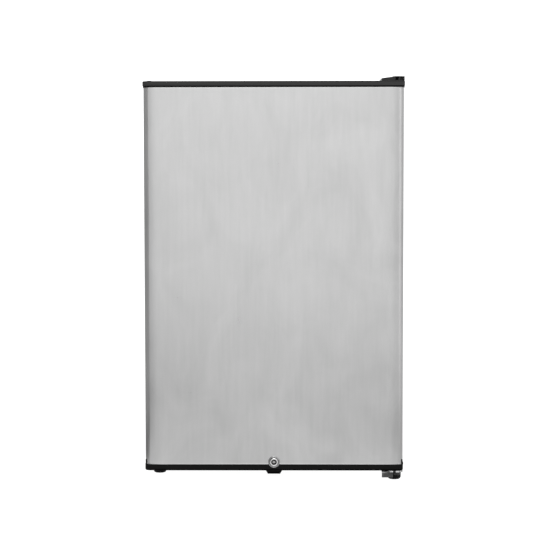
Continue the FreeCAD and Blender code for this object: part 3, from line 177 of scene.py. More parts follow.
def moulded(
    name, level, roughness, tint=(1.0, 1.0, 1.0), texture=0.12, texture_size=2200, cloud=0.07, **shader
):
    """Moulded plastic with a fine spark-eroded texture and slightly uneven colour."""
    plastic = Recipe(name, shade(level, tint), roughness, **shader)
    clouds = plastic.noise(14.0, 3.0)
    low, high = shade(level * (1 - cloud), tint), shade(level * (1 + cloud), tint)
    plastic.link(plastic.between(clouds, low, high), "Base Color")
    plastic.link(plastic.spread(clouds, roughness - 0.04, roughness + 0.05), "Roughness")
    plastic.bump(plastic.noise(texture_size, 2.0), texture, 0.0002)
    return plastic.material


def cap_plastic(name, level, roughness, gloss, fade=None):
    """Black glass-filled plastic with painted shade: blacker on its level faces and, with fade, towards a height
    in metres.
    """
    plastic = Recipe(name, shade(level), roughness, Specular_IOR_Level=gloss)
    clouds = plastic.noise(14.0, 3.0)
    # painted shade on level faces, mixed with a random tone
    tone_and_painted_shade = plastic.maths("MULTIPLY", plastic.steepness(), plastic.spread(clouds, 0.92, 1.05))
    if fade:
        # painted shade: darker towards the height at the end of fade
        tone_and_painted_shade = plastic.maths("MULTIPLY", tone_and_painted_shade, plastic.spread(plastic.height(), 1.0, 0.62, *fade))
    plastic.link(plastic.between(tone_and_painted_shade, shade(level * 0.3), shade(level), 0.35, 0.95), "Base Color")
    plastic.link(plastic.spread(tone_and_painted_shade, 0.75, roughness, 0.35, 0.95), "Roughness")
    plastic.bump(plastic.noise(2200, 2.0), 0.15, 0.0002)
    return plastic.material


def painted(name, level, roughness, tint=(1.0, 1.0, 1.0)):
    """Sprayed enamel on sheet: a low orange peel under a light gloss."""
    paint = Recipe(name, shade(level, tint), roughness, Specular_IOR_Level=0.3)
    clouds = paint.noise(7.0, 3.0)
    paint.link(paint.between(clouds, shade(level * 0.9, tint), shade(level * 1.1, tint)), "Base Color")
    paint.link(paint.spread(clouds, roughness - 0.03, roughness + 0.06), "Roughness")
    peel = paint.bump(paint.noise(420, 2.0), 0.10, 0.0004)
    paint.bump(paint.cells(1600), 0.05, 0.0002, under=peel)
    return paint.material


def galvanised():
    """Hot-dip zinc with its spangle of crystals."""
    zinc = Recipe("galvanised", shade(0.45), 0.42, metallic=1.0)
    spangle = zinc.cells(130, output="Color")
    value = zinc.tree.nodes.new("ShaderNodeSeparateColor")
    zinc.tree.links.new(spangle, value.inputs["Color"])
    crystal = value.outputs["Red"]
    dark, bright = shade(0.36, (0.97, 0.99, 1.0)), shade(0.46, (0.98, 0.99, 1.0))
    zinc.link(zinc.between(crystal, dark, bright, 0, 1), "Base Color")
    zinc.link(zinc.spread(crystal, 0.34, 0.52, 0, 1), "Roughness")
    zinc.bump(zinc.noise(900, 3.0), 0.06, 0.0002)
    return zinc.material


def plated(name, level, roughness, tint=(1.0, 1.0, 1.0)):
    """Zinc or chrome plating with handling marks."""
    metal = Recipe(name, shade(level, tint), roughness, metallic=1.0)
    marks = metal.noise(160, 4.0, distortion=0.8)
    metal.link(metal.between(marks, shade(level * 0.88, tint), shade(level, tint)), "Base Color")
    metal.link(metal.spread(marks, roughness, roughness + 0.12), "Roughness")
    metal.bump(metal.noise(1500, 2.0), 0.04, 0.0002)
    return metal.material


def clear_plastic(name, tint):
    """Injection-moulded clear styrene with a faint frost, lighter where it is thick."""
    clear = Recipe(name, tint, 0.12, IOR=1.57, Transmission_Weight=0.75)
    frost = clear.noise(30, 3.0)
    clear.link(clear.spread(frost, 0.10, 0.22), "Roughness")
    clear.link(clear.between(frost, shade(0.93, tint), tint), "Base Color")
    clear.bump(clear.noise(60, 2.0), 0.03, 0.0008)
    return clear.material


def float_glass():
    """Toughened shelf glass with its green body colour."""
    glass = Recipe("shelf_glass", (0.80, 0.93, 0.88), 0.03, IOR=1.52, Transmission_Weight=0.92)
    ripple = glass.noise(12, 2.0)
    glass.link(glass.spread(ripple, 0.02, 0.06), "Roughness")
    glass.link(glass.between(ripple, (0.76, 0.92, 0.86), (0.84, 0.95, 0.91)), "Base Color")
    glass.bump(ripple, 0.02, 0.0005)
    return glass.material


def copper():
    """Drawn copper tube, dulled and darker where it was brazed."""
    metal = Recipe("copper", (0.62, 0.30, 0.19), 0.32, metallic=1.0)
    tarnish = metal.noise(60, 4.0, distortion=1.2)
    metal.link(metal.between(tarnish, (0.34, 0.15, 0.10), (0.70, 0.36, 0.24)), "Base Color")
    metal.link(metal.spread(tarnish, 0.5, 0.26), "Roughness")
    metal.bump(metal.noise(1200, 2.0), 0.05, 0.0002)
    return metal.material


def anodised():
    """Roll-bonded aluminium with a light frost bloom."""
    metal = Recipe("aluminium", shade(0.7), 0.4, metallic=1.0)
    bloom = metal.noise(22, 5.0)
    dull, bright = shade(0.62, (0.98, 0.99, 1.0)), shade(0.80, (0.99, 1.0, 1.0))
    metal.link(metal.between(bloom, dull, bright), "Base Color")
    metal.link(metal.spread(bloom, 0.34, 0.55), "Roughness")
    metal.bump(metal.noise(1.0, 3.0, stretch=(30, 900, 900)), 0.06, 0.0002)
    return metal.material


def soft_rubber(name, level):
    """Flexible rubber or vinyl with a little dust on it."""
    rubber = Recipe(name, shade(level), 0.62, Specular_IOR_Level=0.35)
    dust = rubber.noise(45, 4.0)
    rubber.link(rubber.between(dust, shade(level * 0.85), shade(level * 1.25)), "Base Color")
    rubber.link(rubber.spread(dust, 0.55, 0.72), "Roughness")
    rubber.bump(rubber.noise(1800, 2.0), 0.10, 0.0002)
    return rubber.material


def blown_foam():
    """Cut polyurethane foam: closed cells under a yellowed skin."""
    foam = Recipe("foam", (0.74, 0.62, 0.36), 0.85)
    cells = foam.cells(700)
    foam.link(foam.between(foam.noise(10, 4.0), (0.66, 0.52, 0.28), (0.80, 0.70, 0.44)), "Base Color")
    foam.bump(cells, 0.5, 0.0006)
    return foam.material


def lamp_material():
    """The pearl glass of the lamp."""
    bulb = Recipe("bulb_glass", (0.95, 0.93, 0.88), 0.15, Transmission_Weight=0.5)
    bulb.link(bulb.between(bulb.noise(80, 2.0), (0.90, 0.87, 0.80), (0.97, 0.95, 0.90)), "Base Color")
    return bulb.material


def record_materials():
    """One finished material for each material slot of the record."""
    return {
        "stainless": stainless(),
        # the caps' plastic carries painted shade on its level faces
        "cap_black": cap_plastic("cap_black", 0.0045, 0.5, 0.03),
        "white_liner": moulded(
            "white_liner", 0.74, 0.34, (1.0, 1.0, 0.985), texture=0.05, texture_size=900, cloud=0.015
        ),
        "clear_bin": clear_plastic("clear_bin", (0.93, 0.97, 0.98)),
        "shelf_glass": float_glass(),
        "white_trim": moulded("white_trim", 0.78, 0.30, (1.0, 1.0, 0.99), texture=0.04, cloud=0.015),
        "cabinet_black": painted("cabinet_black", 0.012, 0.36),
        "galvanised": galvanised(),
        "foam": blown_foam(),
        "gasket_grey": soft_rubber("gasket_grey", 0.05),
        "chrome": plated("chrome", 0.72, 0.08),
        "zinc": plated("zinc", 0.60, 0.28, (0.98, 0.99, 1.0)),
        "copper": copper(),
        "aluminium": anodised(),
        "black_metal": painted("black_metal", 0.010, 0.35),
        "black_rubber": soft_rubber("black_rubber", 0.015),
        "black_plastic": moulded("black_plastic", 0.0035, 0.55, texture=0.2, Specular_IOR_Level=0.06),
        "nylon": moulded("nylon", 0.62, 0.45, (1.0, 1.0, 0.95)),
        "lens": clear_plastic("lens", (0.97, 0.98, 0.97)),
        "bulb_glass": lamp_material(),
    }


MATERIALS = record_materials()
SLOT_OF = {s["node"]: s["material_slot"] for s in frame["record"]["subparts"]}


def dress(piece, slot):
    """Gives piece the material of a record slot."""
    piece.data.materials.clear()
    piece.data.materials.append(MATERIALS[slot])


for node, cad_object in NODES.items():
    dress(cad_object, SLOT_OF[node])


# ---------------------------------------------------------------- mesh helpers (millimetres)
def loft(mesh, rings, loop=False):
    """Faces between successive closed rings; the ends are capped unless the rings close in a loop."""
    rows = [[mesh.verts.new(point) for point in ring] for ring in rings]
    count = len(rows[0])
    following = rows[1:] + ([rows[0]] if loop else [])
    for row, after in zip(rows, following):
        for i in range(count):
            j = (i + 1) % count
            mesh.faces.new((row[i], row[j], after[j], after[i]))
    if not loop:
        mesh.faces.new(rows[0][::-1])
        mesh.faces.new(rows[-1])


def lathe(mesh, profile, centre, axis, segments, loop=False, wobble=None):
    """The (radius, height) profile turned round Z or Y; wobble(angle, radius, height) alters a radius."""
    rings = []
    for radius, height in profile:
        ring = []
        for i in range(segments):
            angle = math.tau * i / segments
            r = wobble(angle, radius, height) if wobble else radius
            across, up = r * math.cos(angle), r * math.sin(angle)
            if axis == "Z":
                ring.append((centre[0] + across, centre[1] + up, height))
            else:
                ring.append((centre[0] + across, height, centre[2] - up))
        rings.append(ring)
    loft(mesh, rings, loop)


def block(mesh, low, high):
    """A box between two corners."""
    made = bmesh.ops.create_cube(mesh, size=1.0)
    middle = [(a + b) / 2 for a, b in zip(low, high)]
    size = [b - a for a, b in zip(low, high)]
    bmesh.ops.scale(mesh, vec=size, verts=made["verts"])
    bmesh.ops.translate(mesh, vec=middle, verts=made["verts"])
    return made["verts"]


def soften(mesh, width, limit=28):
    """Rounds the edges that are sharper than limit degrees."""
    edges = []
    for edge in mesh.edges:
        if len(edge.link_faces) == 2 and edge.calc_face_angle(0) >= math.radians(limit):
            edges.append(edge)
    bmesh.ops.bevel(
        mesh, geom=edges, offset=width, segments=2, profile=0.5, affect="EDGES", clamp_overlap=True
    )


def cad_copy(node, merge_flats=True):
    """A node's mesh in millimetres, with its triangles merged into flat faces."""
    mesh = bmesh.new()
    mesh.from_mesh(NODES[node].data)
    bmesh.ops.scale(mesh, vec=(1000, 1000, 1000), verts=mesh.verts)
    bmesh.ops.remove_doubles(mesh, verts=mesh.verts, dist=0.002)
    if merge_flats:
        bmesh.ops.dissolve_limit(mesh, angle_limit=math.radians(0.5), verts=mesh.verts, edges=mesh.edges)
    return mesh


def slice_at(mesh, axis, levels):
    """Cuts every face along the planes at levels of an axis (0, 1 or 2), keeping both sides."""
    normal = [0, 0, 0]
    normal[axis] = 1
    for level in levels:
        point = [0, 0, 0]
        point[axis] = level
        geometry = mesh.verts[:] + mesh.edges[:] + mesh.faces[:]
        bmesh.ops.bisect_plane(mesh, geom=geometry, plane_co=point, plane_no=normal)


def between_stops(stops, value):
    """Linear interpolation through (position, amount) stops."""
    if value <= stops[0][0]:
        return stops[0][1]
    for (a, first), (b, second) in zip(stops, stops[1:]):
        if value <= b:
            return first + (second - first) * (value - a) / (b - a)
    return stops[-1][1]


def mesh_object(name, mesh):
    """An object in the scene made of mesh, which is used up."""
    data = bpy.data.meshes.new(name)
    mesh.to_mesh(data)
    mesh.free()
    made = bpy.data.objects.new(name, data)
    bpy.context.scene.collection.objects.link(made)
    return made


def carve(mesh, *cutters):
    """mesh with the space of each closed cutter taken away."""
    for solid in (mesh, *cutters):
        bmesh.ops.recalc_face_normals(solid, faces=solid.faces)
    body = mesh_object("carved", mesh)
    tools = [mesh_object("cutter", cutter) for cutter in cutters]
    for tool in tools:
        cut = body.modifiers.new("cut", "BOOLEAN")
        cut.operation, cut.solver, cut.object = "DIFFERENCE", "EXACT", tool
    bpy.context.view_layer.update()
    depsgraph = bpy.context.evaluated_depsgraph_get()
    result = bmesh.new()
    result.from_mesh(body.evaluated_get(depsgraph).data)
    for spare in (body, *tools):
        data = spare.data
        bpy.data.objects.remove(spare)
        bpy.data.meshes.remove(data)
    return result


def sector(centre, inner, outer, start, end, low, high, steps=6):
    """A curved slab between two radii and two angles, for carving."""
    angles = [math.radians(start + (end - start) * i / steps) for i in range(steps + 1)]
    rings = []
    for angle in angles:
        x0, x1 = (centre[0] + radius * math.cos(angle) for radius in (inner, outer))
        y0, y1 = (centre[1] + radius * math.sin(angle) for radius in (inner, outer))
        rings.append([(x0, y0, low), (x1, y1, low), (x1, y1, high), (x0, y0, high)])
    mesh = bmesh.new()
    loft(mesh, rings)
    return mesh


def brick(low, high):
    """A box on its own, for carving."""
    mesh = bmesh.new()
    block(mesh, low, high)
    return mesh


def join(mesh, other):
    """Adds the faces of other to mesh."""
    spare = bpy.data.meshes.new("spare")
    other.to_mesh(spare)
    other.free()
    mesh.from_mesh(spare)
    bpy.data.meshes.remove(spare)


def finish(name, mesh, slot, body, stands_for=(), material=None, sharp=32):
    """Turns a mesh in millimetres into a piece that rides on body and stands for CAD nodes."""
    bmesh.ops.scale(mesh, vec=(MM, MM, MM), verts=mesh.verts)
    bmesh.ops.recalc_face_normals(mesh, faces=mesh.faces)
    made = mesh_object(name, mesh)
    data = made.data
    data.polygons.foreach_set("use_smooth", [True] * len(data.polygons))
    data.set_sharp_from_angle(angle=math.radians(sharp))
    weighted = made.modifiers.new("weighted", "WEIGHTED_NORMAL")
    weighted.keep_sharp, weighted.weight = True, 80
    data.materials.append(material or MATERIALS[slot])
    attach(made, body)
    if stands_for:
        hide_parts(*stands_for)
    return made


def corners_of(node):
    """A CAD node's box in millimetres."""
    low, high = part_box(node)
    return [c * 1000 for c in low], [c * 1000 for c in high]


# ---------------------------------------------------------------- door front
SKIN_LOW, SKIN_HIGH = corners_of("door_skin")
SKIN_HALF, SKIN_FRONT = SKIN_HIGH[0], SKIN_LOW[1]
TOP_CAP_LOW, TOP_CAP_HIGH = corners_of("door_top_cap")
LOW_CAP_LOW, LOW_CAP_HIGH = corners_of("door_bottom_cap")
DOOR_LOW = LOW_CAP_LOW[2] + 6.5    # the cap's bump hangs 6.5 below its underside
LIP_HIGH, LIP_LOW = TOP_CAP_LOW[2], DOOR_LOW + 12.2
CORNER = 10.0
EASE_REACH = 17.0                  # how far beside its rounded corners the face falls back
EASE_DEPTH = 1.8                   # how far it would fall back at a share of 1
EASE_FACE, EASE_BEND = 0.6, 0.8    # shares of that depth: over the face, and midway round the corner


def outward(x, y, half, front, corner):
    """The unit vector out of a door outline with rounded front corners, at the point x, y."""
    near_x = max(-half + corner, min(half - corner, x))
    near_y = max(front + corner, y)
    away = Vector((x - near_x, y - near_y))
    return away.normalized() if away.length > 1e-4 else Vector((0, -1))


def distance_out(x, y, half, front, corner):
    """How far the point x, y lies outside that outline, less than 0 inside it."""
    near_x = max(-half + corner, min(half - corner, x))
    near_y = max(front + corner, y)
    return (Vector((x - near_x, y - near_y))).length - corner


def ease_corners(mesh):
    """Spreads the bend of the door's front corners over a wider stretch of its face."""
    bend_x, bend_y = SKIN_HALF - CORNER, SKIN_FRONT + CORNER
    steps = [EASE_REACH * k / 6 for k in range(7)]
    sheet = 1.6                    # only the door's outer skin moves
    slice_at(mesh, 0, [side * (bend_x - step) for side in (-1, 1) for step in steps])
    for vert in mesh.verts:
        x, y = vert.co.x, vert.co.y
        if distance_out(x, y, SKIN_HALF, SKIN_FRONT, CORNER) < -sheet:
            continue
        away = outward(x, y, SKIN_HALF, SKIN_FRONT, CORNER)
        if abs(x) > bend_x and y < bend_y:
            share = EASE_FACE * away.y ** 2 + EASE_BEND * abs(away.x * away.y)
        elif y < bend_y:
            share = EASE_FACE * max(0.0, 1 - (bend_x - abs(x)) / EASE_REACH) ** 2
        else:
            share = 0.0
        vert.co.x -= away.x * share * EASE_DEPTH
        vert.co.y -= away.y * share * EASE_DEPTH


def build_door_foam():
    """The foam behind the steel, with the same eased corners."""
    mesh = cad_copy("door_foam", merge_flats=False)
    ease_corners(mesh)
    finish("door_foam_block", mesh, "foam", "door", ["door_foam"], sharp=35)


def build_door_sheet():
    """The steel face, with rolled lips under both caps."""
    mesh = cad_copy("door_skin", merge_flats=False)
    top = [
        (LIP_HIGH - 3.0, 0), (LIP_HIGH - 2.4, 0.0), (LIP_HIGH - 1.2, -0.09), (LIP_HIGH, -0.3),
        (LIP_HIGH + 3, -0.3),
    ]
    low = [
        (LIP_LOW - 0.4, 0), (LIP_LOW + 0.15, 0.3), (LIP_LOW + 1.0, 0.14), (LIP_LOW + 2.4, 0),
        (LIP_LOW + 3, 0),
    ]
    slice_at(mesh, 2, [z for z, _ in low + top])
    for vert in mesh.verts:
        x, y, z = vert.co
        away = outward(x, y, SKIN_HALF, SKIN_FRONT, CORNER)
        step = between_stops(low, z) + between_stops(top, z)
        vert.co.x += away.x * step
        vert.co.y += away.y * step
    ease_corners(mesh)
    finish("door_sheet", mesh, "stainless", "door", ["door_skin"], sharp=25)


def build_cap(name, node, half, grooves, material, gap, ears=()):
    """An end cap with shadow grooves pressed into its outer face at the given stops."""
    mesh = cad_copy(node, merge_flats=False)
    front, corner = TOP_CAP_LOW[1], 11.5
    stops = [stop for groove in grooves for stop in groove]
    slice_at(mesh, 2, [z for z, _ in stops])
    for vert in mesh.verts:
        x, y, z = vert.co
        if abs(distance_out(x, y, half, front, corner)) > 0.06:
            continue
        away = outward(x, y, half, front, corner)
        step = sum(between_stops(groove, z) for groove in grooves if groove[0][0] <= z <= groove[-1][0])
        vert.co.x += away.x * step
        vert.co.y += away.y * step
    for low, high in ears:
        piece = brick(low, high)
        soften(piece, 0.3)
        join(mesh, piece)
    made = finish(name, mesh, "cap_black", "door", [node], material, sharp=30)
    # faces in the gap band get a near-black material: painted shadow in the groove over the lip
    made.data.materials.append(CAP_GAP_PAINTED_SHADOW)
    for face in made.data.polygons:
        x, y, z = (c * 1000 for c in face.center)
        if gap[0] < z < gap[1] and abs(distance_out(x, y, half, front, corner)) < 1.6:
            face.material_index = 1


def groove(middle, width, depth):
    """A shadow groove's stops: its walls, and its floor depth below the face."""
    low, high, wall = middle - width / 2, middle + width / 2, 0.25
    return [(low - wall, 0), (low, -depth), (high, -depth), (high + wall, 0)]


def build_top_cap():
    """The upper cap, with the gap over the steel sheet's lip."""
    # the band of faces painted near-black as the groove's painted shadow
    gap = (LIP_HIGH + 0.3, LIP_HIGH + 2.6)
    grooves = [groove(LIP_HIGH + 1.5, 2.1, 0.95)]
    build_cap("door_cap_upper", "door_top_cap", TOP_CAP_HIGH[0], grooves, CAP_FRONT, gap)


def build_bottom_cap():
    """The lower cap, whose ears rise a little way up the steel sheet's two side edges."""
    # the band of faces painted near-black as the groove's painted shadow
    gap = (DOOR_LOW + 1.4, DOOR_LOW + 2.4)
    grooves = [groove(DOOR_LOW + 1.9, 0.9, 0.7)]
    inner, outer = SKIN_HALF - 2.4, SKIN_HALF - 0.25
    near, far, root = SKIN_FRONT + 4.4, SKIN_FRONT + 42, LIP_LOW - 1
    ears = [
        ((-outer, near, root), (-inner, far, LIP_LOW + 9.6)),
        ((inner, near, root), (outer, far, LIP_LOW + 9.6)),
        ((inner, near, root), (LOW_CAP_HIGH[0], far, LIP_LOW + 4.0)),
    ]
    build_cap("door_cap_lower", "door_bottom_cap", LOW_CAP_HIGH[0], grooves, None, gap, ears)


# ---------------------------------------------------------------- lock
LOCK_FRONT = corners_of("lock_cylinder")[0][1]
LOCK_RING_LOW, LOCK_RING_HIGH = corners_of("lock_body")
LOCK_R = LOCK_RING_HIGH[0]
LOCK_Z = (LOCK_RING_LOW[2] + LOCK_RING_HIGH[2]) / 2
LOCK_AT = (0, 0, LOCK_Z)


def build_lock():
    """A chromed ring, and in it a barrel with a keyway."""
    face, back = LOCK_RING_LOW[1], LOCK_RING_HIGH[1]
    bore, sleeve = 8.0, 9.5
    ring = bmesh.new()
    profile = [
        (LOCK_R, SKIN_FRONT - 0.05), (LOCK_R, face + 1.5), (LOCK_R - 0.25, face + 0.8),
        (LOCK_R - 0.8, face + 0.25), (LOCK_R - 1.5, face), (LOCK_R - 1.9, face + 0.1),
        (LOCK_R - 2.3, face + 0.7), (bore + 0.35, face + 1.1), (bore, face + 1.6), (bore, back),
        (sleeve, back), (sleeve, SKIN_FRONT + 0.4), (sleeve, SKIN_FRONT - 0.05),
    ]
    lathe(ring, profile, LOCK_AT, "Y", 64, loop=True)
    # the bezel's darkened chrome is a painted reflection
    finish("lock_bezel", ring, "chrome", "door", ["lock_body"], BEZEL_CHROME_PAINTED_REFLECTION, sharp=40)

    _, barrel_high = corners_of("lock_cylinder")
    barrel = bmesh.new()
    r = bore - 0.06
    profile = [
        (2.3, LOCK_FRONT + 0.9), (2.3, LOCK_FRONT + 2.6), (5.0, LOCK_FRONT + 2.6), (5.3, LOCK_FRONT + 2.2),
        (5.5, LOCK_FRONT + 0.5), (5.8, LOCK_FRONT + 0.12), (6.3, LOCK_FRONT), (6.9, LOCK_FRONT + 0.05),
        (7.5, LOCK_FRONT + 0.4), (r, LOCK_FRONT + 1.1), (r, barrel_high[1] - 11.5),
        (4.0, barrel_high[1] - 11.4), (4.0, barrel_high[1] - 0.3), (3.7, barrel_high[1]),
    ]
    lathe(barrel, profile, LOCK_AT, "Y", 64)
    barrel = carve(
        barrel,
        brick((-0.75, LOCK_FRONT - 1, LOCK_Z - 4.2), (0.75, LOCK_FRONT + 9, LOCK_Z + 2.0)),
        brick((-0.3, LOCK_FRONT - 1, LOCK_Z - 3.2), (1.25, LOCK_FRONT + 9, LOCK_Z - 1.8)),
    )
    made = finish("lock_barrel", barrel, "chrome", "lock", ["lock_cylinder"], sharp=30)
    # the keyway and the barrel's recess get near-black paint: painted shade in the recess
    made.data.materials.append(LOCK_RECESS_PAINTED_SHADE)
    for face_ in made.data.polygons:
        x, y, z = (c * 1000 for c in face_.center)
        deep = math.hypot(x, z - LOCK_Z) < 5.45 and y > LOCK_FRONT + 1.0
        if deep and y < LOCK_FRONT + 12:
            face_.material_index = 1


# ---------------------------------------------------------------- feet
def build_front_foot(node, name):
    """A fluted pad and a hexagon on a stud with a real thread."""
    low, high = corners_of(node)
    centre = ((low[0] + high[0]) / 2, (low[1] + high[1]) / 2)
    pad_r = (high[0] - low[0]) / 2
    pad_high, hexagon_high, stud_r, pitch = 11.5, 13.7, 4.0, 1.5
    mesh = bmesh.new()

    def fluted(angle, radius, height):
        on_the_grip = 4.0 < height < 10.6 and radius > 12
        return radius - 0.45 * max(0.0, math.cos(24 * angle)) if on_the_grip else radius

    pad = [
        (6.0, 0.5), (9.4, 0.0), (10.6, 0.0), (12.2, 1.3), (13.1, 3.2), (13.4, 4.8), (pad_r, 6.4),
        (pad_r, 9.8), (13.1, 10.8), (12.3, 11.3), (11.2, pad_high), (8.6, pad_high),
    ]
    lathe(mesh, pad, centre, "Z", 120, wobble=fluted)
    nut = bmesh.new()
    lathe(nut, [(7.4, pad_high), (8.0, pad_high + 0.3), (8.0, hexagon_high - 0.3), (7.3, hexagon_high)],
          centre, "Z", 6)
    join(mesh, nut)

    def thread(angle, radius, height):
        turn = (height / pitch - angle / math.tau) % 1.0
        return radius - 0.42 * abs(2 * turn - 1)

    steps = int((high[2] - hexagon_high) / (pitch / 6))
    rise = (high[2] - hexagon_high) / steps
    stud = bmesh.new()
    lathe(stud, [(stud_r, hexagon_high - 0.1 + rise * i * (1 - 0.002)) for i in range(steps + 1)],
          centre, "Z", 36, wobble=thread)
    join(mesh, stud)
    made = finish(name, mesh, "black_plastic", node, [node], sharp=35)
    made.data.materials.append(MATERIALS["zinc"])
    for face in made.data.polygons:
        if face.center.z * 1000 > pad_high + 0.02:
            face.material_index = 1


def build_rear_feet():
    """Two plain feet with ribbed necks."""
    low, high = corners_of("rear_feet")
    mesh = bmesh.new()
    for x in (low[0] + 15.0, high[0] - 15.0):
        centre = (x, (low[1] + high[1]) / 2)
        profile = [
            (9.5, 0.6), (11.0, 0.0), (12.6, 0.0), (14.3, 1.6), (15.0, 3.6), (15.0, 8.6), (14.2, 9.8),
            (11.6, 12.4), (11.0, 13.4), (11.0, 35.3), (10.4, 35.9), (3.0, 35.95), (3.0, 42.6), (2.5, high[2]),
        ]

        def ribbed(angle, radius, height):
            on_the_neck = 13.5 < height < 35 and radius > 10
            return radius - 0.5 * max(0.0, math.cos(20 * angle)) if on_the_neck else radius

        part = bmesh.new()
        lathe(part, profile, centre, "Z", 80, wobble=ribbed)
        join(mesh, part)
    finish("rear_feet_moulded", mesh, "black_plastic", "cabinet", ["rear_feet"], sharp=35)


# ---------------------------------------------------------------- hinges
def build_hinge_cover():
    """The moulded cover over the upper hinge, with deep upright flutes round its boss."""
    low, high = corners_of("upper_hinge_cover")
    hinge_x, hinge_y = HINGE
    floor_r, rim_r = 11.0, 13.5    # the flutes' radii round the pin
    mesh = cad_copy("upper_hinge_cover")
    slots = []
    for start, end in ((-123.5, -93.5), (-74.0, -64.0), (-53.0, -40.0)):
        slots.append(sector(HINGE, floor_r, rim_r, start, end, low[2] + 1.2, high[2] - 1.5))
    mesh = carve(mesh, *slots)
    soften(mesh, 0.35, limit=40)
    covered = ["upper_hinge_cover"]
    made = finish("hinge_cover_moulded", mesh, "cap_black", "cabinet", covered, TOP_BLACK, sharp=35)
    # the flutes' floors get the near-black gap material: painted shadow in the flutes
    made.data.materials.append(CAP_GAP_PAINTED_SHADOW)
    for face in made.data.polygons:
        x, y, z = (c * 1000 for c in face.center)
        inside = floor_r - 0.4 < math.hypot(x - hinge_x, y - hinge_y) < floor_r + 0.6
        if inside and y < hinge_y and abs(face.normal.z) < 0.5 and z < high[2] - 1.5:
            face.material_index = 1


def build_lower_hinge():
    """The joggled steel plate, with a blackened nut on the pin under it, its flange painted dark grey as painted
    shade, and a black strip across its front as painted shadow.
    """
    nut_top, nut_r = 20.0, 9.5
    shadow_strip_from, shadow_strip_to, shaded_rib_to = 239.3, 245.0, 241
    mesh = cad_copy("lower_hinge_bracket", merge_flats=False)
    slice_at(mesh, 2, [nut_top])
    slice_at(mesh, 0, [shadow_strip_from, shadow_strip_to])
    soften(mesh, 0.35, limit=40)
    bracket = ["lower_hinge_bracket"]
    made = finish("lower_hinge_plate", mesh, "zinc", "cabinet", bracket, DULL_ZINC, sharp=35)
    made.data.materials.append(MATERIALS["black_metal"])
    made.data.materials.append(RIB_PAINTED_SHADE)
    for face in made.data.polygons:
        x, y, z = (c * 1000 for c in face.center)
        under = z < nut_top - 0.1
        if under and math.hypot(x - HINGE[0], y - HINGE[1]) < nut_r:
            face.material_index = 1
        # the flange under the plate: a darker copy of the steel, painted shade
        elif under and x < shaded_rib_to:
            face.material_index = 2
        # a black strip across the plate's front: painted shadow of a gap
        elif shadow_strip_from < x < shadow_strip_to and y < HINGE[1] - 12.5:
            face.material_index = 1


# ---------------------------------------------------------------- gasket
def build_gasket():
    """A bellows seal swept round the door's back, with mitred corners."""
    low, high = corners_of("door_gasket")
    depth = high[1] - low[1]
    section = [
        (0.0, 0.0), (0.0, 0.14), (1.6, 0.26), (3.2, 0.30), (1.9, 0.40), (3.4, 0.50), (1.0, 0.58),
        (0.9, 0.84), (1.8, 0.97), (3.0, 1.0), (11.0, 1.0), (12.2, 0.97), (13.1, 0.84), (13.0, 0.58),
        (10.6, 0.50), (12.1, 0.40), (10.8, 0.30), (12.4, 0.26), (14.0, 0.14), (14.0, 0.0),
    ]
    mesh = bmesh.new()
    rings = []
    corners = [
        (low[0], low[2], 1, 1), (high[0], low[2], -1, 1),
        (high[0], high[2], -1, -1), (low[0], high[2], 1, -1),
    ]
    for x, z, inward_x, inward_z in corners:
        rings.append([(x + inward_x * u, low[1] + depth * v, z + inward_z * u) for u, v in section])
    loft(mesh, rings, loop=True)
    lengthwise = []
    for edge in mesh.edges:
        folded = len(edge.link_faces) == 2 and edge.calc_face_angle(0) > math.radians(20)
        if folded and edge.calc_length() > 300:
            lengthwise.append(edge)
    bmesh.ops.bevel(
        mesh, geom=lengthwise, offset=0.25, segments=2, profile=0.5, affect="EDGES", clamp_overlap=True
    )
    finish("gasket_bellows", mesh, "gasket_grey", "door", ["door_gasket"], sharp=50)


# ---------------------------------------------------------------- screws
def screw_template(head_r):
    """A pan head with a cross recess, standing on z = 0 and facing +Z."""
    mesh = bmesh.new()
    profile = [
        (1.9, -8.6), (1.9, 0.0), (head_r - 0.15, 0.0), (head_r, 0.25), (head_r * 0.9, 0.8),
        (head_r * 0.6, 1.25), (head_r * 0.25, 1.4),
    ]
    lathe(mesh, profile, (0, 0), "Z", 28)
    arm = head_r * 0.55
    upright = brick((-0.35, -arm, 0.5), (0.35, arm, 2.0))
    level = brick((-arm, -0.35, 0.45), (arm, 0.35, 2.1))
    return carve(mesh, upright, level)


def islands(mesh):
    """The low and high corners of each separate solid of a mesh."""
    seen, found = set(), []
    for start in mesh.verts:
        if start in seen:
            continue
        stack, members = [start], []
        seen.add(start)
        while stack:
            vert = stack.pop()
            members.append(vert.co.copy())
            for edge in vert.link_edges:
                other = edge.other_vert(vert)
                if other not in seen:
                    seen.add(other)
                    stack.append(other)
        low = Vector([min(p[i] for p in members) for i in range(3)])
        high = Vector([max(p[i] for p in members) for i in range(3)])
        found.append((low, high))
    return found


def build_screws():
    """Every cabinet screw, put where the CAD's plain screws are."""
    plain = cad_copy("cabinet_screws", merge_flats=False)
    mesh = bmesh.new()
    turn = 0.3
    for low, high in islands(plain):
        size = high - low
        axis = max(range(3), key=lambda i: size[i])
        across = size[(axis + 1) % 3]
        head_r = across / 2
        middle = (low + high) / 2
        facing = Vector((0, 0, 0))
        back_facing = axis == 1 and middle.y < 0 or axis == 2 and middle.z < 100
        facing[axis] = -1 if back_facing else 1
        head = 1.4 if head_r > 3.6 else 1.2
        base = middle.copy()
        base[axis] = (low[axis] + head) if back_facing else (high[axis] - head)
        part = screw_template(head_r)
        turn += 0.7
        spin = facing.to_track_quat("Z", "Y").to_matrix().to_4x4() @ Matrix.Rotation(turn, 4, "Z")
        bmesh.ops.transform(part, matrix=Matrix.Translation(base) @ spin, verts=part.verts)
        join(mesh, part)
    plain.free()
    finish("screws_cross_head", mesh, "zinc", "cabinet", ["cabinet_screws"], sharp=35)


